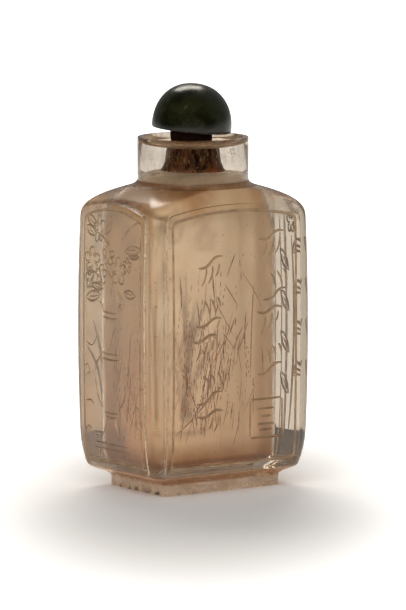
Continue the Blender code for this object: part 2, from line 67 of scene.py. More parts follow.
QUARTER = math.radians(90.0)
MM = 0.001

Colour = tuple[float, float, float]
Pair = tuple[float, float]


class Side(Enum):
    """The four sides of the body, counted around from the front."""

    FRONT = 0
    RIGHT = 1
    BACK = 2
    LEFT = 3

    @property
    def turn(self) -> float:
        """The side's turn about +Z, in radians."""
        return QUARTER * self.value

    @property
    def wide(self) -> bool:
        """Whether the side is one of the two wide ones."""
        return self in (Side.FRONT, Side.BACK)


class Finish(Enum):
    """The bottle's finishes, numbered as its material slots."""

    POLISHED = 0
    FILM = 1
    GROUND = 2
    CAKED = 3
    # Steps around the panels and the neck's cove: dirt with painted shade.
    GRIMY = 4
    WORN = 5
    DUSTY = 6


def mix(start: float, end: float, share: float) -> float:
    """Go from start to end by a share from 0 to 1."""
    return start + (end - start) * share


def rounded_ring(half_x: float, half_y: float, radius: float, z: float, steps: int) -> list[Vector]:
    """Lay out a level rounded rectangle.

    Args:
        half_x: Half its width.
        half_y: Half its depth.
        radius: Radius of its corners.
        z: Its height.
        steps: Points in each corner.

    Returns:
        The points, counterclockwise from the +X +Y corner.
    """
    points = []
    for corner, (side_x, side_y) in enumerate(((1, 1), (-1, 1), (-1, -1), (1, -1))):
        for step in range(steps):
            angle = QUARTER * (corner + (step + 0.5) / steps)
            x = side_x * (half_x - radius) + radius * math.cos(angle)
            y = side_y * (half_y - radius) + radius * math.sin(angle)
            points.append(Vector((x, y, z)))
    return points


class Skin:
    """A closed skin that grows ring by ring, each ring extruded from the edge loop of the last."""

    def __init__(self, bm: bmesh.types.BMesh, points: Sequence[Vector], finish: int = 0) -> None:
        """Start the skin with one capped ring.

        Args:
            bm: The mesh that it grows in.
            points: The first ring.
            finish: Material slot of the first cap.
        """
        self.bm = bm
        self.verts = bmesh.ops.create_circle(bm, cap_ends=True, segments=len(points), radius=1.0)["verts"]
        self.first = list(self.verts)
        self.cap = self.verts[0].link_faces[0]
        self.cap.material_index = finish
        self._place(points)

    def _place(self, points: Sequence[Vector]) -> None:
        """Set the open ring on its points."""
        for vert, point in zip(self.verts, points):
            vert.co = point

    def _loop(self) -> list[bmesh.types.BMEdge]:
        """The open ring's edges, in order."""
        return [self.bm.edges.get((self.verts[i - 1], self.verts[i])) for i in range(len(self.verts))]

    def carry(self, points: Sequence[Vector], finish: int = 0) -> None:
        """Extrude the open ring and set the new one on its points.

        Args:
            points: The new ring, in the order of the first.
            finish: Material slot of the faces between the two.
        """
        made = set(bmesh.ops.extrude_edge_only(self.bm, edges=self._loop())["geom"])
        self.verts = [
            next(edge.other_vert(vert) for edge in vert.link_edges if edge.other_vert(vert) in made)
            for vert in self.verts
        ]
        self._place(points)
        for vert in self.verts:
            for face in vert.link_faces:
                face.material_index = finish

    def close(self, finish: int = 0) -> None:
        """Cap the open ring, with a material slot for the cap."""
        for face in bmesh.ops.contextual_create(self.bm, geom=self._loop())["faces"]:
            face.material_index = finish

    def join_up(self, points: Sequence[Vector]) -> None:
        """Carry the open ring round to the first one, on its points, and weld the two."""
        bmesh.ops.delete(self.bm, geom=[self.cap], context="FACES_ONLY")
        self.carry(points)
        bmesh.ops.remove_doubles(self.bm, verts=self.first + self.verts, dist=0.01 * MM)


def sweep(bm: bmesh.types.BMesh, sections: Sequence[Sequence[Vector]], joined: bool = False) -> None:
    """Grow one skin through a row of sections.

    Args:
        bm: The mesh that it grows in.
        sections: Rings of equal length.
        joined: Whether the last section runs on into the first.
    """
    skin = Skin(bm, sections[0])
    for section in sections[1:]:
        skin.carry(section)
    if joined:
        skin.join_up(sections[0])
    else:
        skin.close()


def make_piece(name: str, bm: bmesh.types.BMesh, sharp: float = 35.0) -> bpy.types.Object:
    """Turn a mesh under work into a smooth-shaded object at the origin.

    Args:
        name: The piece's name.
        bm: The mesh, which is freed.
        sharp: Angle in degrees past which an edge stays sharp.

    Returns:
        The object, linked to the scene.
    """
    bmesh.ops.recalc_face_normals(bm, faces=bm.faces)
    mesh = bpy.data.meshes.new(name)
    bm.to_mesh(mesh)
    bm.free()
    mesh.shade_smooth()
    mesh.set_sharp_from_angle(angle=math.radians(sharp))
    piece = bpy.data.objects.new(name, mesh)
    bpy.context.scene.collection.objects.link(piece)
    return piece


def gathered(shapes: Iterable[bmesh.types.BMesh]) -> bmesh.types.BMesh:
    """Gather several meshes under work into one, and free them."""
    whole = bmesh.new()
    for shape in shapes:
        bmesh.ops.recalc_face_normals(shape, faces=shape.faces)
        mesh = bpy.data.meshes.new("gathered")
        shape.to_mesh(mesh)
        shape.free()
        whole.from_mesh(mesh)
        bpy.data.meshes.remove(mesh)
    return whole


def report(piece: bpy.types.Object) -> None:
    """Log a piece's name and its count of faces."""
    LOG.info("%s: %d faces", piece.name, len(piece.data.polygons))


@dataclass(frozen=True)
class BodyForm:
    """The bottle's turned and ground form, outside and in, as level rings."""

    height: float = 60.0 * MM
    width: float = 32.9 * MM
    depth: float = 24.5 * MM
    corner: float = 2.0 * MM
    belly: float = 27.0 * MM
    swell: float = 0.3 * MM
    foot_width: float = 24.2 * MM
    foot_depth: float = 16.8 * MM
    foot_corner: float = 1.0 * MM
    foot_shift: float = 0.4 * MM
    foot_height: float = 1.8 * MM
    underside_rise: float = 2.0 * MM
    lower_curve: float = 5.9 * MM
    lower_inset: float = 0.7 * MM
    shoulder: float = 6.0 * MM
    shoulder_sharpness: float = 2.9
    neck: float = 9.5 * MM
    neck_length: float = 8.0 * MM
    cove: float = 0.9 * MM
    lip: float = 0.95 * MM
    dish: float = 2.0 * MM
    bore: float = 2.9 * MM
    bore_length: float = 3.5 * MM
    throat: float = 3.6 * MM
    throat_length: float = 0.4 * MM
    side_wall: float = 5.25 * MM
    front_wall: float = 4.25 * MM
    floor: float = 5.2 * MM
    hollow_corner: float = 3.4 * MM
    floor_rounding: float = 2.0 * MM
    dome: float = 11.1 * MM
    dome_sharpness: float = 1.7
    worn_edge: float = 0.12 * MM
    dusty_above: float = 51.2 * MM
    corner_steps: int = 12

    @property
    def neck_base(self) -> float:
        """Height where the shoulder meets the neck."""
        return self.height - self.neck_length

    @property
    def shoulder_start(self) -> float:
        """Height where the sides turn into the shoulder."""
        return self.neck_base - self.shoulder

    @property
    def lower_edge(self) -> float:
        """Height of the body's lower edge."""
        return self.foot_height + self.underside_rise

    @property
    def bore_top(self) -> float:
        """Height where the dished mouth meets the bore."""
        return self.height - self.dish

    @property
    def throat_top(self) -> float:
        """Height where the bore ends."""
        return self.bore_top - self.bore_length

    @property
    def hollow_top(self) -> float:
        """Height where the throat opens into the hollow."""
        return self.throat_top - self.throat_length

    def inset(self, z: float) -> float:
        """How far the sides have drawn in from the belly at height z."""
        drawn = self.swell * ((z - self.belly) / (self.shoulder_start - self.belly)) ** 2
        below = max(0.0, self.lower_edge + self.lower_curve - z) / self.lower_curve
        return drawn + self.lower_inset * below ** 2

    def ring(self, half_x: float, half_y: float, radius: float, z: float) -> list[Vector]:
        """A level rounded rectangle with this form's corner steps."""
        return rounded_ring(half_x, half_y, radius, z, self.corner_steps)

    def circle(self, radius: float, z: float) -> list[Vector]:
        """A level circle whose points match the rounded rings one by one."""
        return self.ring(radius, radius, radius, z)

    def body_ring(self, z: float, share: float = 0.0) -> list[Vector]:
        """A ring of the side, or of the shoulder on its way to the neck by a share."""
        half_x = mix(self.width / 2 - self.inset(z), self.neck, share)
        half_y = mix(self.depth / 2 - self.inset(z), self.neck, share)
        return self.ring(half_x, half_y, mix(self.corner, self.neck, share), z)

    def underside_ring(self, z: float, share: float, drawn: float = 0.0) -> list[Vector]:
        """A ring between the body's lower edge and the foot.

        Args:
            z: Its height.
            share: 0 at the body's edge and 1 at the foot's side.
            drawn: How far the ring is drawn in.

        Returns:
            The ring's points.
        """
        inset = self.inset(self.lower_edge)
        half_x = mix(self.width / 2 - inset, self.foot_width / 2, share) - drawn
        half_y = mix(self.depth / 2 - inset, self.foot_depth / 2, share) - drawn
        ring = self.ring(half_x, half_y, mix(self.corner, self.foot_corner, share) - drawn, z)
        return [point + Vector((self.foot_shift * share, 0.0, 0.0)) for point in ring]

    def outer_rings(self) -> list[list[Vector]]:
        """Rings of the outside, from the underside up to the lip's outer edge."""
        worn = self.worn_edge
        rings = [
            self.underside_ring(0.0, 1.0, worn),
            self.underside_ring(0.3 * worn, 1.0, 0.3 * worn),
            self.underside_ring(worn, 1.0),
            self.underside_ring(self.foot_height * 0.8, 1.0),
            self.underside_ring(self.foot_height * 0.98, 0.99),
            self.underside_ring(self.foot_height * 1.10, 0.97),
            self.underside_ring(self.foot_height * 1.18, 0.93),
            self.underside_ring(mix(self.foot_height, self.lower_edge, 0.35), 0.75),
            self.underside_ring(self.lower_edge - self.underside_rise * 0.26, 0.17),
            self.underside_ring(self.lower_edge - self.underside_rise * 0.16, 0.075),
        ]
        count = 18
        for step in range(count + 1):
            rings.append(self.body_ring(mix(self.lower_edge, self.shoulder_start, (step / count) ** 1.5)))
        return rings + self.shoulder_rings() + [
            self.circle(self.neck, self.height - worn),
            self.circle(self.neck - 0.3 * worn, self.height - 0.3 * worn),
            self.circle(self.neck - worn, self.height),
        ]

    def shoulder_rings(self) -> list[list[Vector]]:
        """Rings of the shoulder and of the small cove that turns it up into the neck."""
        rings = []
        turn_in = 0.93
        count = 24
        for step in range(1, count + 1):
            rise = math.sin(QUARTER * step / count) * turn_in
            rings.append(self.body_ring(self.shoulder_start + self.shoulder * rise, rise ** self.shoulder_sharpness))
        start = Vector((turn_in ** self.shoulder_sharpness, self.shoulder_start + self.shoulder * turn_in))
        middle = Vector((1.0, self.neck_base))
        end = Vector((1.0, self.neck_base + self.cove))
        count = 8
        for step in range(1, count + 1):
            t = step / count
            point = start * (1 - t) ** 2 + middle * (2 * t * (1 - t)) + end * t ** 2
            rings.append(self.body_ring(point.y, point.x))
        return rings

    def mouth_rings(self) -> list[list[Vector]]:
        """Rings of the dished mouth, from the lip's inner edge down to the bore."""
        rings = []
        wide = self.neck - self.lip
        rings.append(self.circle(wide + 0.08 * MM, self.height))
        count = 12
        for step in range(1, count + 1):
            angle = QUARTER * step / count
            radius = mix(self.bore, wide, math.cos(angle))
            rings.append(self.circle(radius, self.height - self.dish * math.sin(angle)))
        return rings

    def hollow_ring(self, z: float, share: float = 1.0, inset: float = 0.0) -> list[Vector]:
        """A ring of the hollow.

        Args:
            z: Its height.
            share: 0 where it has closed in to the throat, 1 at its full size.
            inset: How far it is drawn in, for the rounding at its floor.

        Returns:
            The ring's points.
        """
        half_x = mix(self.throat, self.width / 2 - self.side_wall - inset, share)
        half_y = mix(self.throat, self.depth / 2 - self.front_wall - inset, share)
        radius = mix(self.throat, max(self.hollow_corner - inset / 2, inset), share)
        return self.ring(half_x, half_y, radius, z)

    def bore_rings(self) -> list[list[Vector]]:
        """Rings of the bore, which widens a little down to the hollow."""
        rings = []
        for share in (0.25, 0.5, 0.7):
            rings.append(self.circle(mix(self.bore, self.throat, 0.43 * share), mix(self.bore_top, self.throat_top, share)))
        rings.append(self.circle(mix(self.bore, self.throat, 0.72), self.throat_top))
        rings.append(self.circle(self.throat, self.hollow_top))
        return rings

    def hollow_rings(self) -> list[list[Vector]]:
        """Rings of the hollow, from its dome down to its floor."""
        rings = []
        count = 18
        power = 2 / self.dome_sharpness
        for step in range(1, count + 1):
            angle = QUARTER * (1 - step / count)
            rise = self.dome * math.sin(angle) ** power
            rings.append(self.hollow_ring(self.hollow_top - self.dome + rise, max(math.cos(angle), 0.0) ** power))
        count = 9
        for step in range(count + 1):
            angle = QUARTER * step / count
            z = self.floor + self.floor_rounding * (1 - math.sin(angle))
            rings.append(self.hollow_ring(z, 1.0, self.floor_rounding * (1 - math.cos(angle))))
        return rings

    def outer_finish(self, z: float) -> int:
        """Material slot of the outside just below height z: worn around the foot, and dirt with painted shade in the
        cove at the neck's base.
        """
        if z <= self.lower_edge:
            return Finish.WORN.value
        in_cove = self.neck_base - 0.25 * MM < z <= self.neck_base + self.cove
        return (Finish.GRIMY if in_cove else Finish.POLISHED).value

    def skin(self) -> bmesh.types.BMesh:
        """The whole bottle without its panels, as one closed skin with a material slot for each finish."""
        bm = bmesh.new()
        outside = self.outer_rings()
        skin = Skin(bm, outside[0], Finish.WORN.value)
        for ring in outside[1:]:
            skin.carry(ring, self.outer_finish(ring[0].z))
        for index, ring in enumerate(self.mouth_rings()):
            skin.carry(ring, (Finish.POLISHED if index < 5 else Finish.FILM).value)
        for ring in self.bore_rings():
            skin.carry(ring, Finish.CAKED.value)
        for ring in self.hollow_rings():
            skin.carry(ring, (Finish.DUSTY if ring[0].z > self.dusty_above else Finish.FILM).value)
        skin.close(Finish.FILM.value)
        return bm


@dataclass(frozen=True)
class Stroke:
    """One engraved stroke on the drawing sheet, with its width and depth in metres."""

    points: tuple[Vector, ...]
    width: float = 0.42 * MM
    depth: float = 0.20 * MM
    start: float = 0.3
    end: float = 0.22

    def size_at(self, share: float) -> float:
        """The stroke's swelling, as a share of its full size, at a share of its length."""
        rise = min(1.0, share / 0.22)
        fall = min(1.0, (1.0 - share) / 0.30)
        return min(mix(self.start, 1.0, rise ** 0.6), mix(self.end, 1.0, fall ** 0.7))


@dataclass(frozen=True)
class Panel:
    """One side's raised panel, its border line and the sheet that its motif is drawn on."""

    side: Side
    form: BodyForm
    relief: float = 0.35 * MM
    side_margin: float = 2.75 * MM
    foot_margin: float = 0.3 * MM
    arch_rise: float = 1.2 * MM
    top: float = 49.4 * MM
    top_corner: float = 1.8 * MM
    bottom_corner: float = 0.8 * MM
    root: float = 1.5 * MM
    soft_edge: float = 0.07 * MM
    border_margin: float = 1.05 * MM
    border_width: float = 0.32 * MM
    border_depth: float = 0.18 * MM
    overshoot: float = 0.06 * MM
    arch_steps: int = 12
    corner_steps: int = 5
    levels: int = 10

    @property
    def half(self) -> float:
        """Half the panel's width."""
        return (self.form.width if self.side.wide else self.form.depth) / 2 - self.side_margin

    @property
    def face(self) -> float:
        """The body's half size under the panel."""
        return (self.form.depth if self.side.wide else self.form.width) / 2

    @property
    def low(self) -> float:
        """Height of the panel's lower edge."""
        return self.form.lower_edge + self.foot_margin

    def on_surface(self, across: float, up: float, lift: float = 0.0) -> Vector:
        """A point on the panel's face, or lifted off it, before the turn to its side."""
        return Vector((across, -(self.face + self.relief - self.form.inset(up) + lift), up))

    def from_sheet(self, point: Vector) -> Vector:
        """Stretch a point of the drawing sheet to the panel, as (across, up)."""
        across = point[0] / (13.7 if self.side.wide else 9.5) * self.half
        return Vector((across, self.low + point[1] / 45.0 * (self.top - self.low)))

    def turned(self, bm: bmesh.types.BMesh) -> bmesh.types.BMesh:
        """Turn a shape made on the front to this panel's side."""
        bmesh.ops.rotate(bm, verts=bm.verts, cent=(0, 0, 0), matrix=Matrix.Rotation(self.side.turn, 3, "Z"))
        return bm

    def bend_levels(self) -> list[float]:
        """Heights at which the panel bends with the body's side."""
        low = self.low + self.border_margin + self.bottom_corner
        high = self.top - self.border_margin - self.arch_rise - self.top_corner
        return [mix(low, high, (step / (self.levels + 1)) ** 1.5) for step in range(1, self.levels + 1)]

    def outline(self, margin: float = 0.0) -> list[Vector]:
        """The panel's arched outline in its own plane, as (across, up), shrunk by a margin."""
        half = self.half - margin
        bottom = self.low + margin
        top = self.top - margin
        low_radius = self.bottom_corner
        high_radius = max(self.top_corner - margin / 2, low_radius)
        arch_half = half - high_radius
        arch_radius = (arch_half ** 2 + self.arch_rise ** 2) / (2 * self.arch_rise)
        right = []
        for step in range(self.corner_steps + 1):
            angle = QUARTER * (step / self.corner_steps - 1.0)
            centre = Vector((half - low_radius, bottom + low_radius))
            right.append(centre + low_radius * Vector((math.cos(angle), math.sin(angle))))
        right += [Vector((half, level)) for level in self.bend_levels()]
        reach = QUARTER - math.asin(arch_half / arch_radius)
        for step in range(self.corner_steps + 1):
            angle = reach * step / self.corner_steps
            centre = Vector((half - high_radius, top - self.arch_rise - high_radius))
            right.append(centre + high_radius * Vector((math.cos(angle), math.sin(angle))))
        end = right[-1]
        for step in range(1, self.arch_steps):
            across = end.x * (1 - step / self.arch_steps)
            right.append(Vector((across, mix(end.y, top, 1 - (across / end.x) ** 2))))
        left = [Vector((-point.x, point.y)) for point in reversed(right)]
        return right + [Vector((0.0, top))] + left

    def slab(self) -> bmesh.types.BMesh:
        """The panel as an arched slab whose face follows the body's swell, with a softened rim."""
        bm = bmesh.new()
        Skin(bm, [Vector((point.x, 0.0, point.y)) for point in self.outline()])
        for level in self.bend_levels():
            geometry = list(bm.verts) + list(bm.edges) + list(bm.faces)
            bmesh.ops.bisect_plane(bm, geom=geometry, dist=0.002 * MM, plane_co=(0, 0, level), plane_no=(0, 0, 1))
        bmesh.ops.remove_doubles(bm, verts=bm.verts, dist=0.002 * MM)
        front = list(bm.verts)
        rim = [edge for edge in bm.edges if edge.is_boundary]
        pushed = bmesh.ops.extrude_face_region(bm, geom=list(bm.faces), use_keep_orig=True)
        for vert in pushed["geom"]:
            if isinstance(vert, bmesh.types.BMVert):
                vert.co.y = -(self.face - self.root)
        for vert in front:
            vert.co = self.on_surface(vert.co.x, vert.co.z)
        bmesh.ops.recalc_face_normals(bm, faces=bm.faces)
        bmesh.ops.bevel(
            bm,
            geom=rim,
            offset=self.soft_edge,
            offset_type="OFFSET",
            affect="EDGES",
            segments=2,
            profile=0.5,
            material=-1,
        )
        bmesh.ops.remove_doubles(bm, verts=bm.verts, dist=0.002 * MM)
        bm.normal_update()
        for face in bm.faces:
            face.material_index = 1 if abs(face.normal.y) < 0.3 else 0
        return self.turned(bm)

    def border(self) -> bmesh.types.BMesh:
        """A joined-up cutter for the fine line inside the panel's edge."""
        bm = bmesh.new()
        sides = []
        for offset, lift in (
            (self.border_width, self.overshoot * 2),
            (self.border_width * 0.42, -self.border_depth * 0.75),
            (0.0, -self.border_depth),
            (-self.border_width * 0.42, -self.border_depth * 0.75),
            (-self.border_width, self.overshoot * 2),
        ):
            outline = self.outline(self.border_margin + offset)
            sides.append([self.on_surface(point.x, point.y, lift) for point in outline])
        sweep(bm, [list(section) for section in zip(*sides)], joined=True)
        return self.turned(bm)

    def cutters(self, strokes: Iterable[Stroke]) -> bmesh.types.BMesh:
        """All strokes of a motif as one set of round-bottomed cutters."""
        bm = bmesh.new()
        for stroke in strokes:
            points = [self.from_sheet(point) for point in stroke.points]
            last = len(points) - 1
            sections = []
            for index, point in enumerate(points):
                ahead = points[min(index + 1, last)] - points[max(index - 1, 0)]
                aside = Vector((-ahead.y, ahead.x)).normalized()
                size = stroke.size_at(index / last)
                half = stroke.width / 2 * size
                deep = stroke.depth * (0.35 + 0.65 * size)
                flare = half * (1 + 0.5 * self.overshoot / deep)
                section = []
                for out, lift in ((flare, self.overshoot), (half * 0.5, -deep * 0.8), (0.0, -deep), (-half * 0.5, -deep * 0.8), (-flare, self.overshoot)):
                    place = point + aside * out
                    section.append(self.on_surface(place.x, place.y, lift))
                sections.append(section)
            sweep(bm, sections)
        return self.turned(bm)


def bow(start: Sequence[float], end: Sequence[float], sag: float = 0.0, steps: int = 8) -> tuple[Vector, ...]:
    """Lay out a shallow arc on the sheet.

    Args:
        start: Its start.
        end: Its end.
        sag: How far it bows to the left, as a share of its length.
        steps: Its count of pieces.

    Returns:
        The arc's points.
    """
    start, end = Vector(start), Vector(end)
    aside = (end - start).orthogonal() * sag
    shares = [step / steps for step in range(steps + 1)]
    return tuple(start.lerp(end, share) + aside * (4 * share * (1 - share)) for share in shares)


def flow(keys: Sequence[Sequence[float]], steps: int = 4) -> tuple[Vector, ...]:
    """Draw a smooth line through key points of the sheet, with some steps between each two."""
    spots = [Vector(key) for key in keys]
    points = []
    for index in range(len(spots) - 1):
        before = spots[max(index - 1, 0)]
        start, end = spots[index], spots[index + 1]
        after = spots[min(index + 2, len(spots) - 1)]
        for step in range(steps):
            t = step / steps
            points.append(
                0.5 * (2 * start + (end - before) * t + (2 * before - 5 * start + 4 * end - after) * t ** 2
                       + (3 * start - before - 3 * end + after) * t ** 3)
            )
    return tuple(points + [spots[-1]])


def wave(centre: Sequence[float], half: float, tilt: float, height: float) -> tuple[Vector, ...]:
    """A long wavering stroke, level or tilted, like a drawn-out brush stroke."""
    along = Vector((math.cos(tilt), math.sin(tilt)))
    aside = Vector((-along.y, along.x))
    points = []
    for step in range(11):
        share = step / 5 - 1
        points.append(Vector(centre) + along * (half * share) + aside * (height * math.sin(math.pi * share)))
    return tuple(points)


@dataclass
class Motif:
    """A drawing of engraved strokes that is built up from leaves, blossoms and lines."""

    fine: float = 0.30 * MM
    petal: float = 0.38 * MM
    broad: float = 0.54 * MM
    strokes: list[Stroke] = field(default_factory=list)

    def line(self, points: Sequence[Vector], width: float | None = None, depth: float = 0.20 * MM) -> None:
        """Add one stroke through the points, as wide as a plain line unless a width is given."""
        self.strokes.append(Stroke(tuple(points), width or 0.42 * MM, depth))

    def leaf(self, base: Sequence[float], tip: Sequence[float], width: float, vein: bool = True) -> None:
        """Add a leaf: two bowed edges and, where wished, the vein between them."""
        base, tip = Vector(base), Vector(tip)
        near, far = base.lerp(tip, 0.05), base.lerp(tip, 0.95)
        self.line(bow(near, tip, width, 7))
        self.line(bow(far, base, width, 7))
        if vein:
            self.line(bow(base.lerp(tip, 0.12), base.lerp(tip, 0.72), 0.03, 4), self.fine, 0.12 * MM)

    def blossom(self, centre: Sequence[float], radius: float, petals: int = 5, turn: float = 0.3) -> None:
        """Add a flower seen from the front: looped petals around a small heart."""
        centre = Vector(centre)
        for petal in range(petals):
            keys = []
            for reach, aside in ((0.30, -0.20), (0.74, -0.40), (1.02, -0.12), (1.02, 0.12), (0.74, 0.40), (0.30, 0.20)):
                angle = turn + math.tau * (petal + aside) / petals
                keys.append(centre + reach * radius * Vector((math.cos(angle), math.sin(angle))))
            self.line(flow(keys, 2), self.petal)


@dataclass
class FloweringVase(Motif):
    """The left panel: a tall vase on a stand, with a branch of leaves and blossoms."""

    middle: float = -0.4

    def draw(self) -> list[Stroke]:
        """Draw the vase, the branch and the scrolls beside them, and return the strokes."""
        self._vase()
        self._branch()
        self._scrolls()
        return self.strokes

    def _pair(self, points: Sequence[Vector], width: float | None = None) -> None:
        """Add a line of the vase and the same line on its other side."""
        for side in (1, -1):
            self.line([Vector((self.middle + side * point[0], point[1])) for point in points], width)

    def _vase(self) -> None:
        """The vase's outline, rings and stand."""
        self._pair(bow((1.9, 25.3), (1.8, 20.2), 0.0, 2))
        self._pair(bow((2.6, 19.2), (4.6, 15.6), 0.15))
        self._pair(bow((4.6, 15.1), (2.2, 10.2), 0.13))
        self._pair(bow((1.3, 9.2), (3.4, 5.0), -0.14, 6))
        self._pair(bow((3.3, 28.4), (2.2, 27.0), -0.1, 4))
        for height, reach, dip in (
            (26.7, 2.2, 0.04), (25.8, 2.2, 0.04), (19.7, 2.6, 0.02), (18.8, 2.5, 0.04), (9.6, 2.0, 0.04), (8.9, 1.7, 0.05),
        ):
            self.line(bow((self.middle - reach, height), (self.middle + reach, height), -dip, 5))
        for height, reach in ((4.2, 4.8), (3.3, 5.3)):
            self.line(bow((self.middle - reach, height), (self.middle + reach, height), 0.0, 2))
        for foot in (-3.6, 3.6):
            self.line(bow((self.middle + foot, 3.1), (self.middle + foot * 1.15, 1.9), 0.05, 2))

    def _branch(self) -> None:
        """The branch, its leaves and its five blossoms."""
        self.line(bow((7.4, 42.4), (2.8, 39.0), -0.08), self.broad)
        self.line(bow((-4.4, 39.8), (-0.6, 37.6), 0.06), self.broad)
        self.line(bow((-0.4, 28.0), (0.4, 32.4), 0.06, 5), self.broad)
        self.line(flow(((0.2, 32.4), (-1.6, 34.2), (-2.0, 37.0))))
        for base, tip, width in (
            ((-2.6, 39.6), (-0.2, 43.0), 0.24),
            ((-4.6, 40.6), (-7.9, 42.8), 0.20),
            ((-5.0, 39.2), (-8.0, 40.9), 0.22),
            ((3.6, 37.4), (8.6, 38.0), 0.16),
            ((4.8, 36.6), (8.2, 36.7), 0.12),
            ((3.4, 30.4), (7.2, 30.0), 0.18),
            ((-3.2, 29.4), (-8.0, 28.6), 0.18),
            ((-2.6, 30.4), (-6.2, 31.0), 0.16),
            ((1.4, 30.6), (3.4, 27.2), 0.18),
        ):
            self.leaf(base, tip, width)
        for centre, radius in (
            ((-1.2, 36.2), 1.7),
            ((-6.0, 35.0), 2.2),
            ((1.9, 33.8), 2.3),
            ((4.5, 35.0), 1.2),
            ((-3.2, 32.8), 1.6),
        ):
            self.blossom(centre, radius)

    def _scrolls(self) -> None:
        """Small curling lines in the ground beside the vase."""
        for keys in (
            ((-8.4, 15.0), (-6.8, 15.9), (-7.3, 17.2), (-8.2, 16.8)),
            ((-7.6, 21.0), (-5.8, 20.6), (-4.4, 22.4)),
            ((-7.9, 10.9), (-6.4, 11.2), (-5.6, 10.4)),
            ((-8.3, 5.9), (-7.2, 6.7), (-6.4, 6.0)),
            ((6.2, 10.2), (7.2, 11.4), (8.2, 10.6)),
        ):
            self.line(flow(keys), self.fine, 0.14 * MM)


@dataclass
class InscribedPanel(Motif):
    """The front panel: two columns of plain strokes, which are no letters, and a square seal mark."""

    def draw(self) -> list[Stroke]:
        """Draw both columns and the seal, and return the strokes."""
        self._column(7.6, 39.4, 4, 6.3, 0.0)
        self._column(-5.6, 35.6, 5, 6.4, 1.0)
        self._seal(Vector((6.5, 8.4)), 3.3)
        return self.strokes

    def _column(self, middle: float, top: float, rows: int, pitch: float, phase: float) -> None:
        """Add a column of rows, each one long wave and three slanted dashes above or below it.

        Args:
            middle: The column's middle across the sheet.
            top: Height of its first row.
            rows: Count of rows.
            pitch: Height from row to row.
            phase: Where its sway begins.
        """
        for row in range(rows):
            lean = 1 if row % 2 else -1
            height = top - row * pitch
            sway = 0.7 * math.sin(1.9 * row + phase)
            tilt = 0.22 + 0.14 * math.sin(2.3 * row + phase)
            drop = 0.0 if lean < 0 else 3.7
            self.line(wave((middle + sway, height - drop), 2.7, tilt, 0.42), self.broad)
            for dash in range(3):
                start = Vector((middle + sway - 0.9 + 1.3 * dash, height - 0.9 + 0.3 * dash + 0.4 * (lean + 1)))
                reach = 2.5 + 0.7 * math.sin(1.3 * dash + 0.8 * row + phase)
                self.line(bow(start, start + Vector((0.34 * lean, -1.0)) * reach, 0.10, 6))

    def _seal(self, centre: Vector, half: float) -> None:
        """Add a square frame with four plain bars inside."""
        inner = half * 0.94
        for x, y in ((1, 0), (0, 1), (-1, 0), (0, -1)):
            side, along = Vector((x, y)), Vector((-y, x))
            self.strokes.append(
                Stroke(bow(centre + side * half - along * inner, centre + side * half + along * inner, 0.0, 3), start=0.8, end=0.8)
            )
        for rise, reach in ((0.5, 0.5), (0.1, 0.3), (-0.3, 0.5), (-0.6, 0.4)):
            middle = centre + Vector((0.0, rise * half))
            ends = middle - Vector((reach * half, 0)), middle + Vector((reach * half, 0))
            self.strokes.append(Stroke(bow(*ends, 0.0, 3), start=0.7, end=0.7))


@dataclass
class GrassClump(Motif):
    """The back panel: a clump of long bowed leaves with three blossoms."""

    def draw(self) -> list[Stroke]:
        """Draw the clump and its blossoms, and return the strokes."""
        for index in range(7):
            lean = mix(-1.0, 1.0, index / 6)
            foot = (1.6 * lean, 6.0)
            tip = (8.6 * lean, 34.0 - 13.0 * abs(lean) + 3.0 * math.sin(2.0 * index))
            self.line(bow(foot, tip, 0.16 * lean, 12), self.broad)
            near = (1.6 * lean + 0.5, 6.6)
            self.line(bow(near, tip, 0.16 * lean + 0.035, 12))
        for centre, radius in (((-4.6, 37.4), 2.1), ((3.4, 39.2), 2.4), ((7.6, 31.0), 1.8)):
            self.blossom(centre, radius)
        self.line(bow((-6.4, 5.0), (6.4, 5.0), -0.03))
        for across in (-5.0, -2.2, 1.4, 4.4):
            self.line(bow((across, 4.2), (across + 1.8, 4.1), 0.12, 4), self.fine, 0.14 * MM)
        return self.strokes


@dataclass
class LeafyStem(Motif):
    """The right panel: one upright stem with paired leaves."""

    def draw(self) -> list[Stroke]:
        """Draw the stem and its leaves, and return the strokes."""
        self.line(bow((0.6, 5.0), (-0.6, 38.0), 0.04, 12), self.broad)
        for index in range(4):
            height = 11.0 + 7.0 * index
            self.leaf((0.9, height), (5.6, height + 3.4), 0.18)
            self.leaf((-0.9, height + 3.0), (-5.4, height + 6.0), 0.18)
        self.blossom((-0.6, 40.4), 1.9)
        return self.strokes


MOTIFS: dict[Side, type[Motif]] = {
    Side.FRONT: InscribedPanel,
    Side.RIGHT: LeafyStem,
    Side.BACK: GrassClump,
    Side.LEFT: FloweringVase,
}


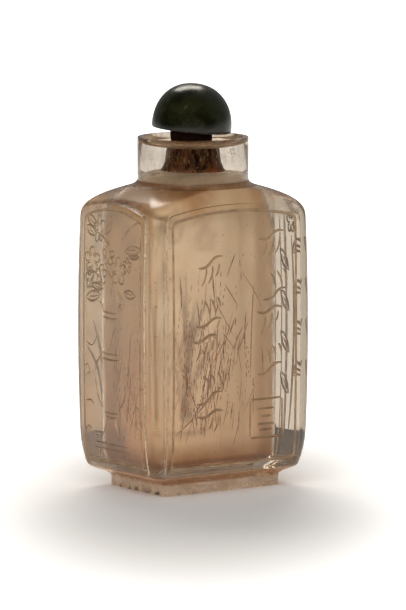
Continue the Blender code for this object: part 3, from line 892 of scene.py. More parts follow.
class NodeBench:
    """A material's node tree with short calls that add and join its nodes."""

    def __init__(self, tree: bpy.types.NodeTree) -> None:
        """Work on one node tree."""
        self.tree = tree

    def add(self, kind: str, settings: dict[str, object] | None = None, **inputs: object) -> bpy.types.Node:
        """Add a node and fill its sockets.

        Args:
            kind: The node's type name.
            settings: Its own properties by name.
            inputs: Values or output sockets by input name, with underscores for spaces.

        Returns:
            The node.
        """
        node = self.tree.nodes.new(kind)
        for name, value in (settings or {}).items():
            setattr(node, name, value)
        for name, value in inputs.items():
            self.set(node, name.replace("_", " "), value)
        return node

    def set(self, node: bpy.types.Node, socket: str | int, value: object) -> None:
        """Give an input a plain value or link an output socket to it."""
        target = node.inputs[socket]
        if isinstance(value, bpy.types.NodeSocket):
            self.tree.links.new(value, target)
        else:
            target.default_value = value

    def math(self, operation: str, first: object, second: object = 0.5, clamp: bool = False) -> bpy.types.NodeSocket:
        """Join two values by a math operation and return the result."""
        node = self.add("ShaderNodeMath", {"operation": operation, "use_clamp": clamp})
        self.set(node, 0, first)
        self.set(node, 1, second)
        return node.outputs[0]

    def blend(self, mask: object, first: object, second: object) -> bpy.types.NodeSocket:
        """Mix two colours by a mask and return the result."""
        node = self.add("ShaderNodeMix", {"data_type": "RGBA"})
        self.set(node, 0, mask)
        for socket, value in ((6, first), (7, second)):
            self.set(node, socket, value if isinstance(value, bpy.types.NodeSocket) else (*value, 1.0))
        return node.outputs[2]

    def band(self, value: object, low: float, high: float, start: float = 0.0, end: float = 1.0) -> bpy.types.NodeSocket:
        """Map a value smoothly from one range to another and return the result."""
        node = self.add("ShaderNodeMapRange", {"interpolation_type": "SMOOTHSTEP"})
        for socket, given in enumerate((value, low, high, start, end)):
            self.set(node, socket, given)
        return node.outputs[0]

    def noise(self, place: object, scale: float, detail: float = 3.0, rough: float = 0.5) -> bpy.types.NodeSocket:
        """Add a noise pattern on a place and return its value."""
        node = self.add("ShaderNodeTexNoise", None, Vector=place, Scale=scale, Detail=detail, Roughness=rough)
        return node.outputs["Fac"]

    def place(self, scale: Colour = (1.0, 1.0, 1.0)) -> bpy.types.NodeSocket:
        """Object coordinates, stretched by a scale for each axis."""
        coordinates = self.add("ShaderNodeTexCoord").outputs["Object"]
        return self.add("ShaderNodeMapping", None, Vector=coordinates, Scale=scale).outputs[0]

    def height(self) -> bpy.types.NodeSocket:
        """The height above the underside, in metres."""
        coordinates = self.add("ShaderNodeTexCoord").outputs["Object"]
        return self.add("ShaderNodeSeparateXYZ", None, Vector=coordinates).outputs["Z"]


def mottling_group() -> bpy.types.NodeTree:
    """Build the shared mottling effect once.

    Returns:
        A node group that puts out a mask of soft clouds broken up by fine specks.
    """
    name = "mottling"
    if name in bpy.data.node_groups:
        return bpy.data.node_groups[name]
    group = bpy.data.node_groups.new(name, "ShaderNodeTree")
    group.interface.new_socket("Place", in_out="INPUT", socket_type="NodeSocketVector")
    for title, value in (("Cloud Scale", 300.0), ("Speck Scale", 3000.0), ("Speck Share", 0.3)):
        socket = group.interface.new_socket(title, in_out="INPUT", socket_type="NodeSocketFloat")
        socket.default_value = value
    group.interface.new_socket("Mask", in_out="OUTPUT", socket_type="NodeSocketFloat")
    bench = NodeBench(group)
    given = bench.add("NodeGroupInput").outputs
    clouds = bench.noise(given["Place"], 1.0, 4.0, 0.55)
    bench.tree.links.new(given["Cloud Scale"], clouds.node.inputs["Scale"])
    specks = bench.noise(given["Place"], 1.0, 2.0, 0.6)
    bench.tree.links.new(given["Speck Scale"], specks.node.inputs["Scale"])
    soft = bench.band(clouds, 0.32, 0.68)
    fine = bench.band(specks, 0.45, 0.75)
    kept = bench.math("MULTIPLY", fine, given["Speck Share"])
    both = bench.math("ADD", bench.math("MULTIPLY", soft, bench.math("SUBTRACT", 1.0, given["Speck Share"])), kept, True)
    out = bench.add("NodeGroupOutput")
    bench.tree.links.new(both, out.inputs["Mask"])
    return group


def add_mottling(bench: NodeBench, place: object, clouds: float, specks: float, share: float) -> bpy.types.NodeSocket:
    """Place the mottling effect in a material.

    Args:
        bench: The material's nodes.
        place: The coordinates that it follows.
        clouds: Scale of its clouds.
        specks: Scale of its specks.
        share: Share of the specks in the mask.

    Returns:
        The mask.
    """
    node = bench.add("ShaderNodeGroup", {"node_tree": mottling_group()})
    bench.set(node, "Place", place)
    bench.set(node, "Cloud Scale", clouds)
    bench.set(node, "Speck Scale", specks)
    bench.set(node, "Speck Share", share)
    return node.outputs["Mask"]


def start_material(name: str) -> tuple[bpy.types.Material, NodeBench, bpy.types.Node]:
    """Make a material with its Principled shader, and return it with its bench and the shader."""
    material = bpy.data.materials.new(name)
    material.use_nodes = True
    return material, NodeBench(material.node_tree), material.node_tree.nodes["Principled BSDF"]


@dataclass(frozen=True)
class PolishedCrystal:
    """Clear polished rock crystal with faint polishing marks and a few dusty smears, and painted shade on its back
    face, at its front right corner and, with some dirt, just above the narrow panels.
    """

    clear: Colour = (0.70, 0.63, 0.545)
    stained: Colour = (0.86, 0.68, 0.48)
    # Dark brown: specks of dirt near the lip, and painted shade with some dirt above the narrow panels.
    grime_and_shade: Colour = (0.16, 0.08, 0.035)
    haze: Colour = (0.40, 0.36, 0.31)
    # Painted shade: darker tint for parts of the back face and the front right corner.
    shade_tint: Colour = (0.33, 0.265, 0.19)
    ior: float = 1.54

    def make(self) -> bpy.types.Material:
        """Make the material."""
        material, bench, shader = start_material("polished_crystal")
        place = bench.place()
        smears = add_mottling(bench, place, 180.0, 2400.0, 0.25)
        stain = bench.math("MULTIPLY", bench.band(bench.height(), 0.0075, 0.0020), bench.band(smears, 0.1, 0.9, 0.55, 1.0))
        tone = bench.blend(stain, self.clear, self.stained)
        height = bench.height()
        dust = bench.noise(bench.place((1.0, 1.0, 0.45)), 900.0, 4.0, 0.7)
        hazy = bench.math("MULTIPLY", bench.band(height, 0.0530, 0.0550), bench.band(dust, 0.35, 0.65, 0.1, 0.8))
        tone = bench.blend(hazy, tone, self.haze)
        specks = bench.math("MULTIPLY", bench.band(height, 0.0566, 0.0580), bench.band(dust, 0.60, 0.70, 0.0, 0.6))
        tone = bench.blend(specks, tone, self.grime_and_shade)
        # Painted shade with some dirt: dark brown along the step just above the narrow panels, broken by noise.
        patchy = bench.band(bench.noise(place, 190.0, 3.0), 0.35, 0.60, 0.35, 1.0)
        tone = bench.blend(bench.math("MULTIPLY", self._over_side_panels(bench), patchy), tone, self.grime_and_shade)
        # Painted shade: a darker tint on the right part of the back face and on the front right corner.
        spot = bench.add("ShaderNodeSeparateXYZ", None, Vector=place).outputs
        behind = bench.math("MULTIPLY", bench.band(spot["Y"], 0.0100, 0.0118), bench.band(spot["X"], 0.0050, 0.0100))
        tone = bench.blend(bench.math("MULTIPLY", behind, 0.85), tone, self.shade_tint)
        edge = bench.math("MULTIPLY", bench.band(spot["X"], 0.0134, 0.0144), bench.band(spot["Y"], -0.0080, -0.0100))
        tone = bench.blend(bench.math("MULTIPLY", edge, 0.9), tone, self.shade_tint)
        bench.set(shader, "Base Color", tone)
        shoulder = bench.math("MULTIPLY", bench.band(height, 0.0455, 0.0480), bench.band(height, 0.0530, 0.0515))
        worn = bench.math("MULTIPLY", shoulder, 0.22)
        bench.set(shader, "Roughness", bench.math("ADD", bench.band(smears, 0.45, 0.95, 0.012, 0.07), worn))
        bench.set(shader, "Transmission Weight", 1.0)
        bench.set(shader, "IOR", self.ior)
        ripples = bench.noise(bench.place((1.0, 1.0, 0.35)), 420.0, 2.0)
        bump = bench.add("ShaderNodeBump", None, Strength=0.10, Distance=0.00004, Height=ripples)
        bench.set(shader, "Normal", bump.outputs[0])
        return material

    def _over_side_panels(self, bench: NodeBench) -> bpy.types.NodeSocket:
        """A mask of the narrow arched band just above the panels of the two narrow sides, where shade is painted with
        some dirt.
        """
        spot = bench.add("ShaderNodeSeparateXYZ", None, Vector=bench.place()).outputs
        share = bench.math("MULTIPLY", spot["Y"], 1 / (9.5 * MM))
        arch = bench.math("ADD", spot["Z"], bench.math("MULTIPLY", bench.math("MULTIPLY", share, share), 1.2 * MM))
        band = bench.math("MULTIPLY", bench.band(arch, 0.0491, 0.0495), bench.band(arch, 0.0504, 0.0497))
        return bench.math("MULTIPLY", band, bench.band(bench.math("ABSOLUTE", spot["X"]), 0.0125, 0.0140))


@dataclass(frozen=True)
class GroundCrystal:
    """The matte, dust-toned floor of an engraved stroke."""

    pale: Colour = (0.40, 0.28, 0.17)
    dusty: Colour = (0.20, 0.12, 0.06)
    ior: float = 1.54

    def make(self) -> bpy.types.Material:
        """Make the material."""
        material, bench, shader = start_material("ground_crystal")
        place = bench.place()
        dust = add_mottling(bench, place, 700.0, 6000.0, 0.35)
        bench.set(shader, "Base Color", bench.blend(dust, self.pale, self.dusty))
        bench.set(shader, "Roughness", bench.band(dust, 0.0, 1.0, 0.32, 0.55))
        bench.set(shader, "Transmission Weight", 0.45)
        bench.set(shader, "IOR", self.ior)
        grit = bench.noise(place, 9000.0, 3.0, 0.7)
        bump = bench.add("ShaderNodeBump", None, Strength=0.5, Distance=0.00002, Height=grit)
        bench.set(shader, "Normal", bump.outputs[0])
        return material


@dataclass(frozen=True)
class SnuffFilm:
    """The brown film on the inner wall: pale tan above, and orange brown where snuff has settled on the floor."""

    pale: Colour = (0.93, 0.78, 0.58)
    tan: Colour = (0.82, 0.58, 0.35)
    brown: Colour = (0.46, 0.22, 0.085)
    dusty: Colour = (0.74, 0.60, 0.45)
    smear_at: Colour = (-0.0055, -0.0060, 0.0505)
    ior: float = 1.12

    def make(self) -> bpy.types.Material:
        """Make the material."""
        material, bench, shader = start_material("snuff_film")
        place = bench.place()
        height = bench.height()
        clouds = add_mottling(bench, place, 150.0, 1900.0, 0.25)
        low = bench.band(height, 0.034, 0.006)
        tone = bench.blend(bench.math("MULTIPLY", clouds, 0.6), self.pale, self.tan)
        tone = bench.blend(bench.math("MULTIPLY", low, 0.8), tone, self.tan)
        settled = bench.math("MULTIPLY", bench.band(height, 0.0090, 0.0054), bench.band(clouds, 0.0, 0.8, 0.6, 1.0))
        tone = bench.blend(settled, tone, self.brown)
        crumbs = bench.noise(bench.place((1.0, 1.0, 0.5)), 1300.0, 4.0, 0.65)
        above = bench.math("MULTIPLY", bench.band(height, 0.0515, 0.0545), bench.band(crumbs, 0.42, 0.62))
        tone = bench.blend(above, tone, self.dusty)
        apart = bench.add("ShaderNodeVectorMath", {"operation": "DISTANCE"})
        bench.set(apart, 0, bench.place())
        bench.set(apart, 1, self.smear_at)
        smear = bench.math("MULTIPLY", bench.band(apart.outputs["Value"], 0.0068, 0.0022), bench.band(clouds, 0.0, 0.6, 0.5, 0.9))
        tone = bench.blend(smear, tone, self.brown)
        specks = bench.noise(place, 2100.0, 2.0, 0.5)
        tone = bench.blend(bench.band(specks, 0.66, 0.72, 0.0, 0.75), tone, self.brown)
        bench.set(shader, "Base Color", tone)
        bench.set(shader, "Roughness", bench.band(clouds, 0.0, 1.0, 0.34, 0.52))
        bench.set(shader, "Transmission Weight", 0.80)
        bench.set(shader, "IOR", self.ior)
        return material


@dataclass(frozen=True)
class CakedSnuff:
    """Dark snuff caked in the bore, in upright streaks with pale painted glints and a rusty patch."""

    brown: Colour = (0.27, 0.115, 0.042)
    dark: Colour = (0.030, 0.007, 0.003)
    # Colour of the painted glints.
    tan: Colour = (0.62, 0.45, 0.28)
    rust: Colour = (0.55, 0.12, 0.025)
    ior: float = 1.12

    def make(self) -> bpy.types.Material:
        """Make the material."""
        material, bench, shader = start_material("caked_snuff")
        upright = bench.place((1.0, 1.0, 0.22))
        streaks = bench.noise(upright, 2300.0, 4.0, 0.65)
        tone = bench.blend(bench.band(streaks, 0.40, 0.58), self.brown, self.dark)
        patch = bench.band(bench.noise(bench.place(), 230.0, 2.0), 0.52, 0.64, 0.0, 0.7)
        tone = bench.blend(patch, tone, self.rust)
        # Painted glints: fine pale tan upright streaks.
        fine_streaks = bench.noise(upright, 4600.0, 2.0, 0.5)
        tone = bench.blend(bench.band(fine_streaks, 0.58, 0.68, 0.0, 0.8), tone, self.tan)
        bench.set(shader, "Base Color", tone)
        bench.set(shader, "Roughness", bench.band(streaks, 0.3, 0.7, 0.45, 0.65))
        bench.set(shader, "Transmission Weight", 0.40)
        bench.set(shader, "IOR", self.ior)
        bump = bench.add("ShaderNodeBump", None, Strength=0.6, Distance=0.00006, Height=streaks)
        bench.set(shader, "Normal", bump.outputs[0])
        return material


@dataclass(frozen=True)
class GrimeAndShadeEdge:
    """The narrow step around a raised panel and the cove at the neck's base: clear with a painted highlight at the foot
    of the panels, and dark brown higher up that is partly dirt and partly painted shade.
    """

    clear: Colour = (0.64, 0.53, 0.40)
    # Painted highlight at the foot of the panels' steps.
    bright: Colour = (0.98, 0.80, 0.60)
    # Dark brown of the upper steps: partly dirt, partly painted shade.
    grime_and_shade: Colour = (0.16, 0.085, 0.040)
    ior: float = 1.54

    def make(self) -> bpy.types.Material:
        """Make the material."""
        material, bench, shader = start_material("grime_and_shade_edge")
        blotches = bench.noise(bench.place(), 330.0, 4.0, 0.6)
        # Painted shade with some dirt: dark brown on the upper steps and in the neck's cove, broken by noise; specks of
        # dirt all over.
        upper = bench.band(bench.height(), 0.0462, 0.0482)
        mask = bench.math("MULTIPLY", upper, bench.band(blotches, 0.30, 0.55, 0.75, 1.0))
        specks = bench.band(blotches, 0.60, 0.75, 0.0, 0.6)
        # Painted highlight: the step is lighter near the bottom of the panels.
        tone = bench.blend(bench.band(bench.height(), 0.0095, 0.0075), self.clear, self.bright)
        tone = bench.blend(bench.math("MAXIMUM", mask, specks), tone, self.grime_and_shade)
        bench.set(shader, "Base Color", tone)
        bench.set(shader, "Roughness", bench.band(blotches, 0.3, 0.7, 0.15, 0.40))
        bench.set(shader, "Transmission Weight", 0.65)
        bench.set(shader, "IOR", self.ior)
        return material


@dataclass(frozen=True)
class WornCrystal:
    """The scratched, cloudy crystal of the foot, pale on its side and orange brown above it, partly stain and partly
    painted shade, with a painted contact shadow along its lower left edge.
    """

    pale: Colour = (0.58, 0.50, 0.40)
    cloudy: Colour = (0.40, 0.28, 0.18)
    # Orange brown above the foot: partly stain, partly painted shade of the underside slope.
    stained: Colour = (0.24, 0.10, 0.022)
    # Painted contact shadow along the foot's lower left edge.
    contact_shadow: Colour = (0.09, 0.05, 0.025)
    ior: float = 1.54

    def make(self) -> bpy.types.Material:
        """Make the material."""
        material, bench, shader = start_material("worn_crystal")
        wear = add_mottling(bench, bench.place((1.0, 1.0, 1.4)), 420.0, 3600.0, 0.4)
        height = bench.height()
        above = bench.math("MULTIPLY", bench.band(height, 0.0016, 0.0021), bench.band(height, 0.0040, 0.0030))
        tone = bench.blend(wear, self.pale, self.cloudy)
        # Partly snuff stain, partly painted shade: the underside slope above the foot's side is darker orange brown.
        tone = bench.blend(bench.math("MULTIPLY", above, 0.9), tone, self.stained)
        spot = bench.add("ShaderNodeSeparateXYZ", None, Vector=bench.place()).outputs
        # Painted contact shadow: a dark ragged band along the lower left edge of the foot, next to the floor.
        left = bench.math("MULTIPLY", bench.band(height, 0.0009, 0.0002), bench.band(spot["X"], -0.003, -0.008))
        ragged = bench.band(bench.noise(bench.place(), 650.0, 3.0), 0.46, 0.56, 0.0, 0.9)
        tone = bench.blend(bench.math("MULTIPLY", left, ragged), tone, self.contact_shadow)
        bench.set(shader, "Base Color", tone)
        bench.set(shader, "Roughness", bench.band(wear, 0.0, 1.0, 0.16, 0.42))
        bench.set(shader, "Transmission Weight", 0.55)
        bench.set(shader, "IOR", self.ior)
        fine_streaks = bench.noise(bench.place((1.0, 1.0, 1.6)), 1500.0, 3.0, 0.6)
        bump = bench.add("ShaderNodeBump", None, Strength=0.25, Distance=0.00005, Height=fine_streaks)
        bench.set(shader, "Normal", bump.outputs[0])
        return material


@dataclass(frozen=True)
class SnuffDust:
    """Pale snuff dust that lies thick on the hollow's dome, under the neck."""

    dust: Colour = (0.99, 0.87, 0.69)
    crumbs: Colour = (0.80, 0.61, 0.41)
    ior: float = 1.12

    def make(self) -> bpy.types.Material:
        """Make the material."""
        material, bench, shader = start_material("snuff_dust")
        crumbs = add_mottling(bench, bench.place((1.0, 1.0, 0.5)), 520.0, 2600.0, 0.5)
        bench.set(shader, "Base Color", bench.blend(crumbs, self.dust, self.crumbs))
        bench.set(shader, "Roughness", 0.6)
        bench.set(shader, "Transmission Weight", 0.55)
        bench.set(shader, "IOR", self.ior)
        return material


@dataclass(frozen=True)
class DarkJade:
    """Dark green polished stone with cloudy veins."""

    deep: Colour = (0.0030, 0.0032, 0.0008)
    leaf: Colour = (0.014, 0.015, 0.004)
    pale: Colour = (0.036, 0.040, 0.018)

    def make(self) -> bpy.types.Material:
        """Make the material."""
        material, bench, shader = start_material("dark_jade")
        place = bench.place()
        clouds = add_mottling(bench, place, 330.0, 4200.0, 0.3)
        veins = bench.noise(bench.place((1.0, 1.6, 0.7)), 520.0, 5.0, 0.65)
        tone = bench.blend(clouds, self.deep, self.leaf)
        tone = bench.blend(bench.band(veins, 0.58, 0.74, 0.0, 0.6), tone, self.pale)
        bench.set(shader, "Base Color", tone)
        bench.set(shader, "Roughness", bench.band(clouds, 0.0, 1.0, 0.20, 0.32))
        bench.set(shader, "IOR", 1.48)
        pits = bench.noise(place, 2600.0, 3.0, 0.6)
        bump = bench.add("ShaderNodeBump", None, Strength=0.25, Distance=0.00003, Height=pits)
        bench.set(shader, "Normal", bump.outputs[0])
        return material


@dataclass(frozen=True)
class DarkCork:
    """Old cork, stained nearly black, with paler pores."""

    stain: Colour = (0.003, 0.001, 0.0006)
    bark: Colour = (0.022, 0.008, 0.005)

    def make(self) -> bpy.types.Material:
        """Make the material."""
        material, bench, shader = start_material("dark_cork")
        place = bench.place()
        grain = add_mottling(bench, place, 700.0, 3800.0, 0.5)
        bench.set(shader, "Base Color", bench.blend(grain, self.stain, self.bark))
        bench.set(shader, "Roughness", 0.85)
        bench.set(shader, "Specular IOR Level", 0.1)
        bump = bench.add("ShaderNodeBump", None, Strength=0.8, Distance=0.00012, Height=grain)
        bench.set(shader, "Normal", bump.outputs[0])
        return material


@dataclass(frozen=True)
class RustyNeedle:
    """The reddish brown of the fine needles that are sealed in the crystal."""

    dark: Colour = (0.28, 0.115, 0.048)
    rust: Colour = (0.72, 0.33, 0.125)
    black: Colour = (0.015, 0.010, 0.007)

    def make(self) -> bpy.types.Material:
        """Make the material."""
        material, bench, shader = start_material("rusty_needle")
        clouds = bench.noise(bench.place(), 900.0, 3.0)
        tone = bench.blend(bench.band(clouds, 0.35, 0.65), self.dark, self.rust)
        tone = bench.blend(bench.band(bench.height(), 0.0500, 0.0520), tone, self.black)
        bench.set(shader, "Base Color", tone)
        bench.set(shader, "Roughness", 0.55)
        return material


@dataclass
class CrystalBottle:
    """The carved bottle: its skin, raised panels, engraved strokes and the chips on its foot."""

    form: BodyForm = field(default_factory=BodyForm)
    chips: int = 7
    chip_radius: float = 0.9 * MM
    chip_bite: float = 0.35 * MM
    piece: bpy.types.Object | None = None

    def build(self) -> bpy.types.Object:
        """Build the bottle, cut its carving and dress it.

        Returns:
            The finished piece.
        """
        self.piece = make_piece("carved_bottle", self.form.skin())
        makers = (
            PolishedCrystal(), SnuffFilm(), GroundCrystal(), CakedSnuff(), GrimeAndShadeEdge(), WornCrystal(), SnuffDust(),
        )
        finishes = {finish: maker.make() for finish, maker in zip(Finish, makers)}
        for material in finishes.values():
            self.piece.data.materials.append(material)
        polished, ground = finishes[Finish.POLISHED], finishes[Finish.GROUND]
        panels = [Panel(side, self.form) for side in Side]
        slabs = gathered(panel.slab() for panel in panels)
        self._cut("slabs", slabs, "UNION", (polished, finishes[Finish.GRIMY]))
        self._cut("borders", gathered(panel.border() for panel in panels), "DIFFERENCE", (ground,))
        strokes = gathered(panel.cutters(MOTIFS[panel.side]().draw()) for panel in panels)
        self._cut("strokes", strokes, "DIFFERENCE", (ground,), crossing=True)
        self._cut("chips", self._chip_balls(), "DIFFERENCE", (finishes[Finish.WORN],), crossing=True)
        self._bake()
        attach(self.piece, "root")
        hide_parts("bottle")
        return self.piece

    def _cut(
        self,
        name: str,
        bm: bmesh.types.BMesh,
        operation: str,
        materials: Sequence[bpy.types.Material],
        crossing: bool = False,
    ) -> None:
        """Join or cut a helper shape with a Boolean modifier.

        Args:
            name: The helper's name.
            bm: The helper's mesh.
            operation: UNION or DIFFERENCE.
            materials: Finishes of the faces that the helper leaves, by its own slots.
            crossing: Whether the helper's own parts cross.
        """
        helper = make_piece(name, bm)
        for material in materials:
            helper.data.materials.append(material)
        helper.hide_render = True
        helper.parent = self.piece
        modifier = self.piece.modifiers.new(name, "BOOLEAN")
        modifier.operation = operation
        modifier.solver = "EXACT"
        modifier.material_mode = "TRANSFER"
        modifier.use_self = crossing
        modifier.object = helper

    def _bake(self) -> None:
        """Keep the cut shape as the piece's own mesh, with its even-shading modifier switched off, set its sharp edges
        by angle and remove the helpers.
        """
        weighted = self.piece.modifiers.new("even_shading", "WEIGHTED_NORMAL")
        weighted.keep_sharp = True
        graph = bpy.context.evaluated_depsgraph_get()
        weighted.show_viewport = False
        graph.update()
        cut = bpy.data.meshes.new_from_object(self.piece.evaluated_get(graph))
        self.piece.modifiers.clear()
        for helper in list(self.piece.children):
            mesh = helper.data
            bpy.data.objects.remove(helper, do_unlink=True)
            bpy.data.meshes.remove(mesh)
        cut.set_sharp_from_angle(angle=math.radians(28.0))
        old = self.piece.data
        self.piece.data = cut
        bpy.data.meshes.remove(old)
        cut.name = "carved_bottle"

    def _chip_balls(self) -> bmesh.types.BMesh:
        """Rough balls that bite into the lower left edge of the foot."""
        bm = bmesh.new()
        form = self.form
        chance = random.Random(5)
        edge = form.foot_shift - form.foot_width / 2
        for index in range(self.chips):
            share = (index + 0.5) / self.chips
            along = mix(-0.5, 0.5, share) * (form.foot_depth - 2 * form.foot_corner)
            size = self.chip_radius * chance.uniform(0.55, 1.15)
            height = form.foot_height * chance.uniform(0.0, 0.5)
            centre = Vector((edge + self.chip_bite * chance.uniform(0.6, 1.1) - size, along, height))
            turn = Matrix.Rotation(chance.uniform(0.0, 3.0), 4, "X")
            bmesh.ops.create_icosphere(bm, subdivisions=2, radius=size, matrix=Matrix.Translation(centre) @ turn)
        for vert in bm.verts:
            vert.co += noise.noise_vector(vert.co * 2600.0) * 0.07 * MM
        return bm


@dataclass
class NeedleInclusions:
    """Fine rusty needles sealed in the front and left walls of the crystal, and black specks in its neck."""

    form: BodyForm = field(default_factory=BodyForm)
    front_count: int = 210
    left_count: int = 60
    speck_count: int = 14
    thick: float = 0.105 * MM
    sides: int = 5
    seed: int = 11

    def build(self) -> bpy.types.Object:
        """Build all needles as one piece and dress it.

        Returns:
            The finished piece.
        """
        bm = bmesh.new()
        chance = random.Random(self.seed)
        for start, end in self._known():
            self._needle(bm, start, end, self.thick * 1.25, chance)
        for _ in range(self.front_count):
            self._scattered(bm, Side.FRONT, chance)
        for _ in range(self.left_count):
            self._scattered(bm, Side.LEFT, chance)
        self._specks(bm, chance)
        piece = make_piece("needle_inclusions", bm, 80.0)
        piece.data.materials.append(RustyNeedle().make())
        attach(piece, "root")
        return piece

    def _specks(self, bm: bmesh.types.BMesh, chance: random.Random) -> None:
        """Scatter black specks just under the neck's surface, towards the front right."""
        for _ in range(self.speck_count):
            angle = math.radians(-77.0 + chance.gauss(0.0, 5.0))
            reach = self.form.neck - 0.3 * MM
            height = (58.1 + chance.gauss(0.0, 0.45)) * MM
            centre = Vector((reach * math.cos(angle), reach * math.sin(angle), height))
            size = chance.uniform(0.05, 0.12) * MM
            bmesh.ops.create_icosphere(bm, subdivisions=1, radius=size, matrix=Matrix.Translation(centre))

    def _in_wall(self, side: Side, across: float, up: float, deep: float) -> Vector:
        """A point in a wall.

        Args:
            side: The wall's side, front or left.
            across: Millimetres across the panel, to the right as seen from outside.
            up: Millimetres above the underside.
            deep: Millimetres below the panel's face.

        Returns:
            The point in metres.
        """
        face = (self.form.depth if side.wide else self.form.width) / 2
        point = Vector((across * MM, -(face - self.form.inset(up * MM) - deep * MM), up * MM))
        return Matrix.Rotation(side.turn, 3, "Z") @ point

    def _known(self) -> list[tuple[Vector, Vector]]:
        """The boldest needles, each as its two ends."""
        lines = (
            (-10.2, 30.0, -10.0, 26.0, 0.8), (-10.7, 37.8, -10.6, 32.0, 1.2), (-4.6, 25.0, -4.4, 19.0, 2.0),
            (-3.8, 39.0, -3.4, 32.0, 2.2), (3.1, 31.0, 2.7, 24.0, 1.8), (4.9, 36.0, 4.0, 20.0, 2.2),
            (0.9, 41.0, -1.1, 37.0, 1.6), (-1.4, 36.0, 1.2, 32.0, 1.9), (2.5, 28.3, 0.2, 24.0, 2.1),
            (0.8, 30.0, -0.7, 27.0, 1.9), (-1.6, 27.0, -1.8, 23.0, 1.5), (-11.4, 11.0, -7.0, 14.3, 1.4),
            (-7.0, 14.3, -5.0, 16.2, 1.4), (-9.6, 23.0, -9.0, 17.0, 2.4), (-6.9, 33.5, -6.4, 27.5, 2.3),
        )
        front = [
            (self._in_wall(Side.FRONT, x0, z0, deep), self._in_wall(Side.FRONT, x1, z1, deep * 0.8))
            for x0, z0, x1, z1, deep in lines
        ]
        lines = ((5.2, 29.0, 4.6, 21.0, 1.2), (4.6, 21.0, 3.2, 12.0, 1.5), (6.6, 17.0, 4.4, 11.0, 1.0))
        left = [
            (self._in_wall(Side.LEFT, x0, z0, deep), self._in_wall(Side.LEFT, x1, z1, deep))
            for x0, z0, x1, z1, deep in lines
        ]
        return front + left

    def _scattered(self, bm: bmesh.types.BMesh, side: Side, chance: random.Random) -> None:
        """Add one upright needle at random, whole or broken into beads."""
        front = side is Side.FRONT
        across = chance.triangular(-12.0, 6.5, -6.0) if front else chance.triangular(-2.0, 8.6, 5.5)
        up = chance.triangular(8.0, 38.0, 20.0) if front else chance.triangular(7.0, 30.0, 14.0)
        length = chance.uniform(1.6, 6.5)
        lean = chance.gauss(-0.12, 0.14) if chance.random() < 0.86 else chance.uniform(-0.9, 0.9)
        deep = chance.uniform(0.7, 3.4)
        top = Vector((across, min(up + length / 2, 41.0)))
        low = Vector((across + lean * length, max(up - length / 2, 6.5)))
        pieces = chance.choice((1, 1, 1, 2, 3, 4))
        thick = self.thick * chance.uniform(0.35, 1.0)
        for index in range(pieces):
            ends = [top.lerp(low, (index + gap) / pieces) for gap in (0.0, 1.0 if pieces == 1 else 0.62)]
            start, end = (self._in_wall(side, spot.x, spot.y, deep) for spot in ends)
            self._needle(bm, start, end, thick, chance)

    def _needle(
        self, bm: bmesh.types.BMesh, start: Vector, end: Vector, thick: float, chance: random.Random
    ) -> None:
        """Add one thin needle that tapers to both ends and bends a little.

        Args:
            bm: The mesh that it is added to.
            start: Its upper end.
            end: Its lower end.
            thick: Its greatest radius.
            chance: The source of its small bends.
        """
        along = (end - start).normalized()
        first = along.orthogonal().normalized()
        second = along.cross(first)
        length = (end - start).length
        bend = first * chance.gauss(0.0, 0.02) * length + second * chance.gauss(0.0, 0.02) * length
        sections = []
        steps = 6
        for step in range(steps + 1):
            share = step / steps
            radius = thick * (0.12 + 0.88 * math.sin(math.pi * share) ** 0.6) * chance.uniform(0.75, 1.1)
            centre = start.lerp(end, share) + bend * (4 * share * (1 - share))
            ring = []
            for index in range(self.sides):
                angle = math.tau * index / self.sides
                ring.append(centre + (first * math.cos(angle) + second * math.sin(angle)) * radius)
            sections.append(ring)
        sweep(bm, sections)


@dataclass(frozen=True)
class StopperLean:
    """How the stopper rests: shifted a little and leaning towards one side."""

    form: BodyForm = BodyForm()
    lift: float = 1.1 * MM
    shift: float = -0.30 * MM
    tilt: float = math.radians(5.5)
    heading: float = math.radians(-35.0)

    @property
    def base(self) -> float:
        """Height of the cap's base."""
        return self.form.height + self.lift

    def matrix(self) -> Matrix:
        """The cap's place, from its own upright frame."""
        heading = Vector((math.cos(self.heading), math.sin(self.heading), 0.0))
        centre = heading * self.shift + Vector((0.0, 0.0, self.base))
        hinge = Vector((0.0, 0.0, 1.0)).cross(heading)
        return Matrix.Translation(centre) @ Matrix.Rotation(self.tilt, 4, hinge)


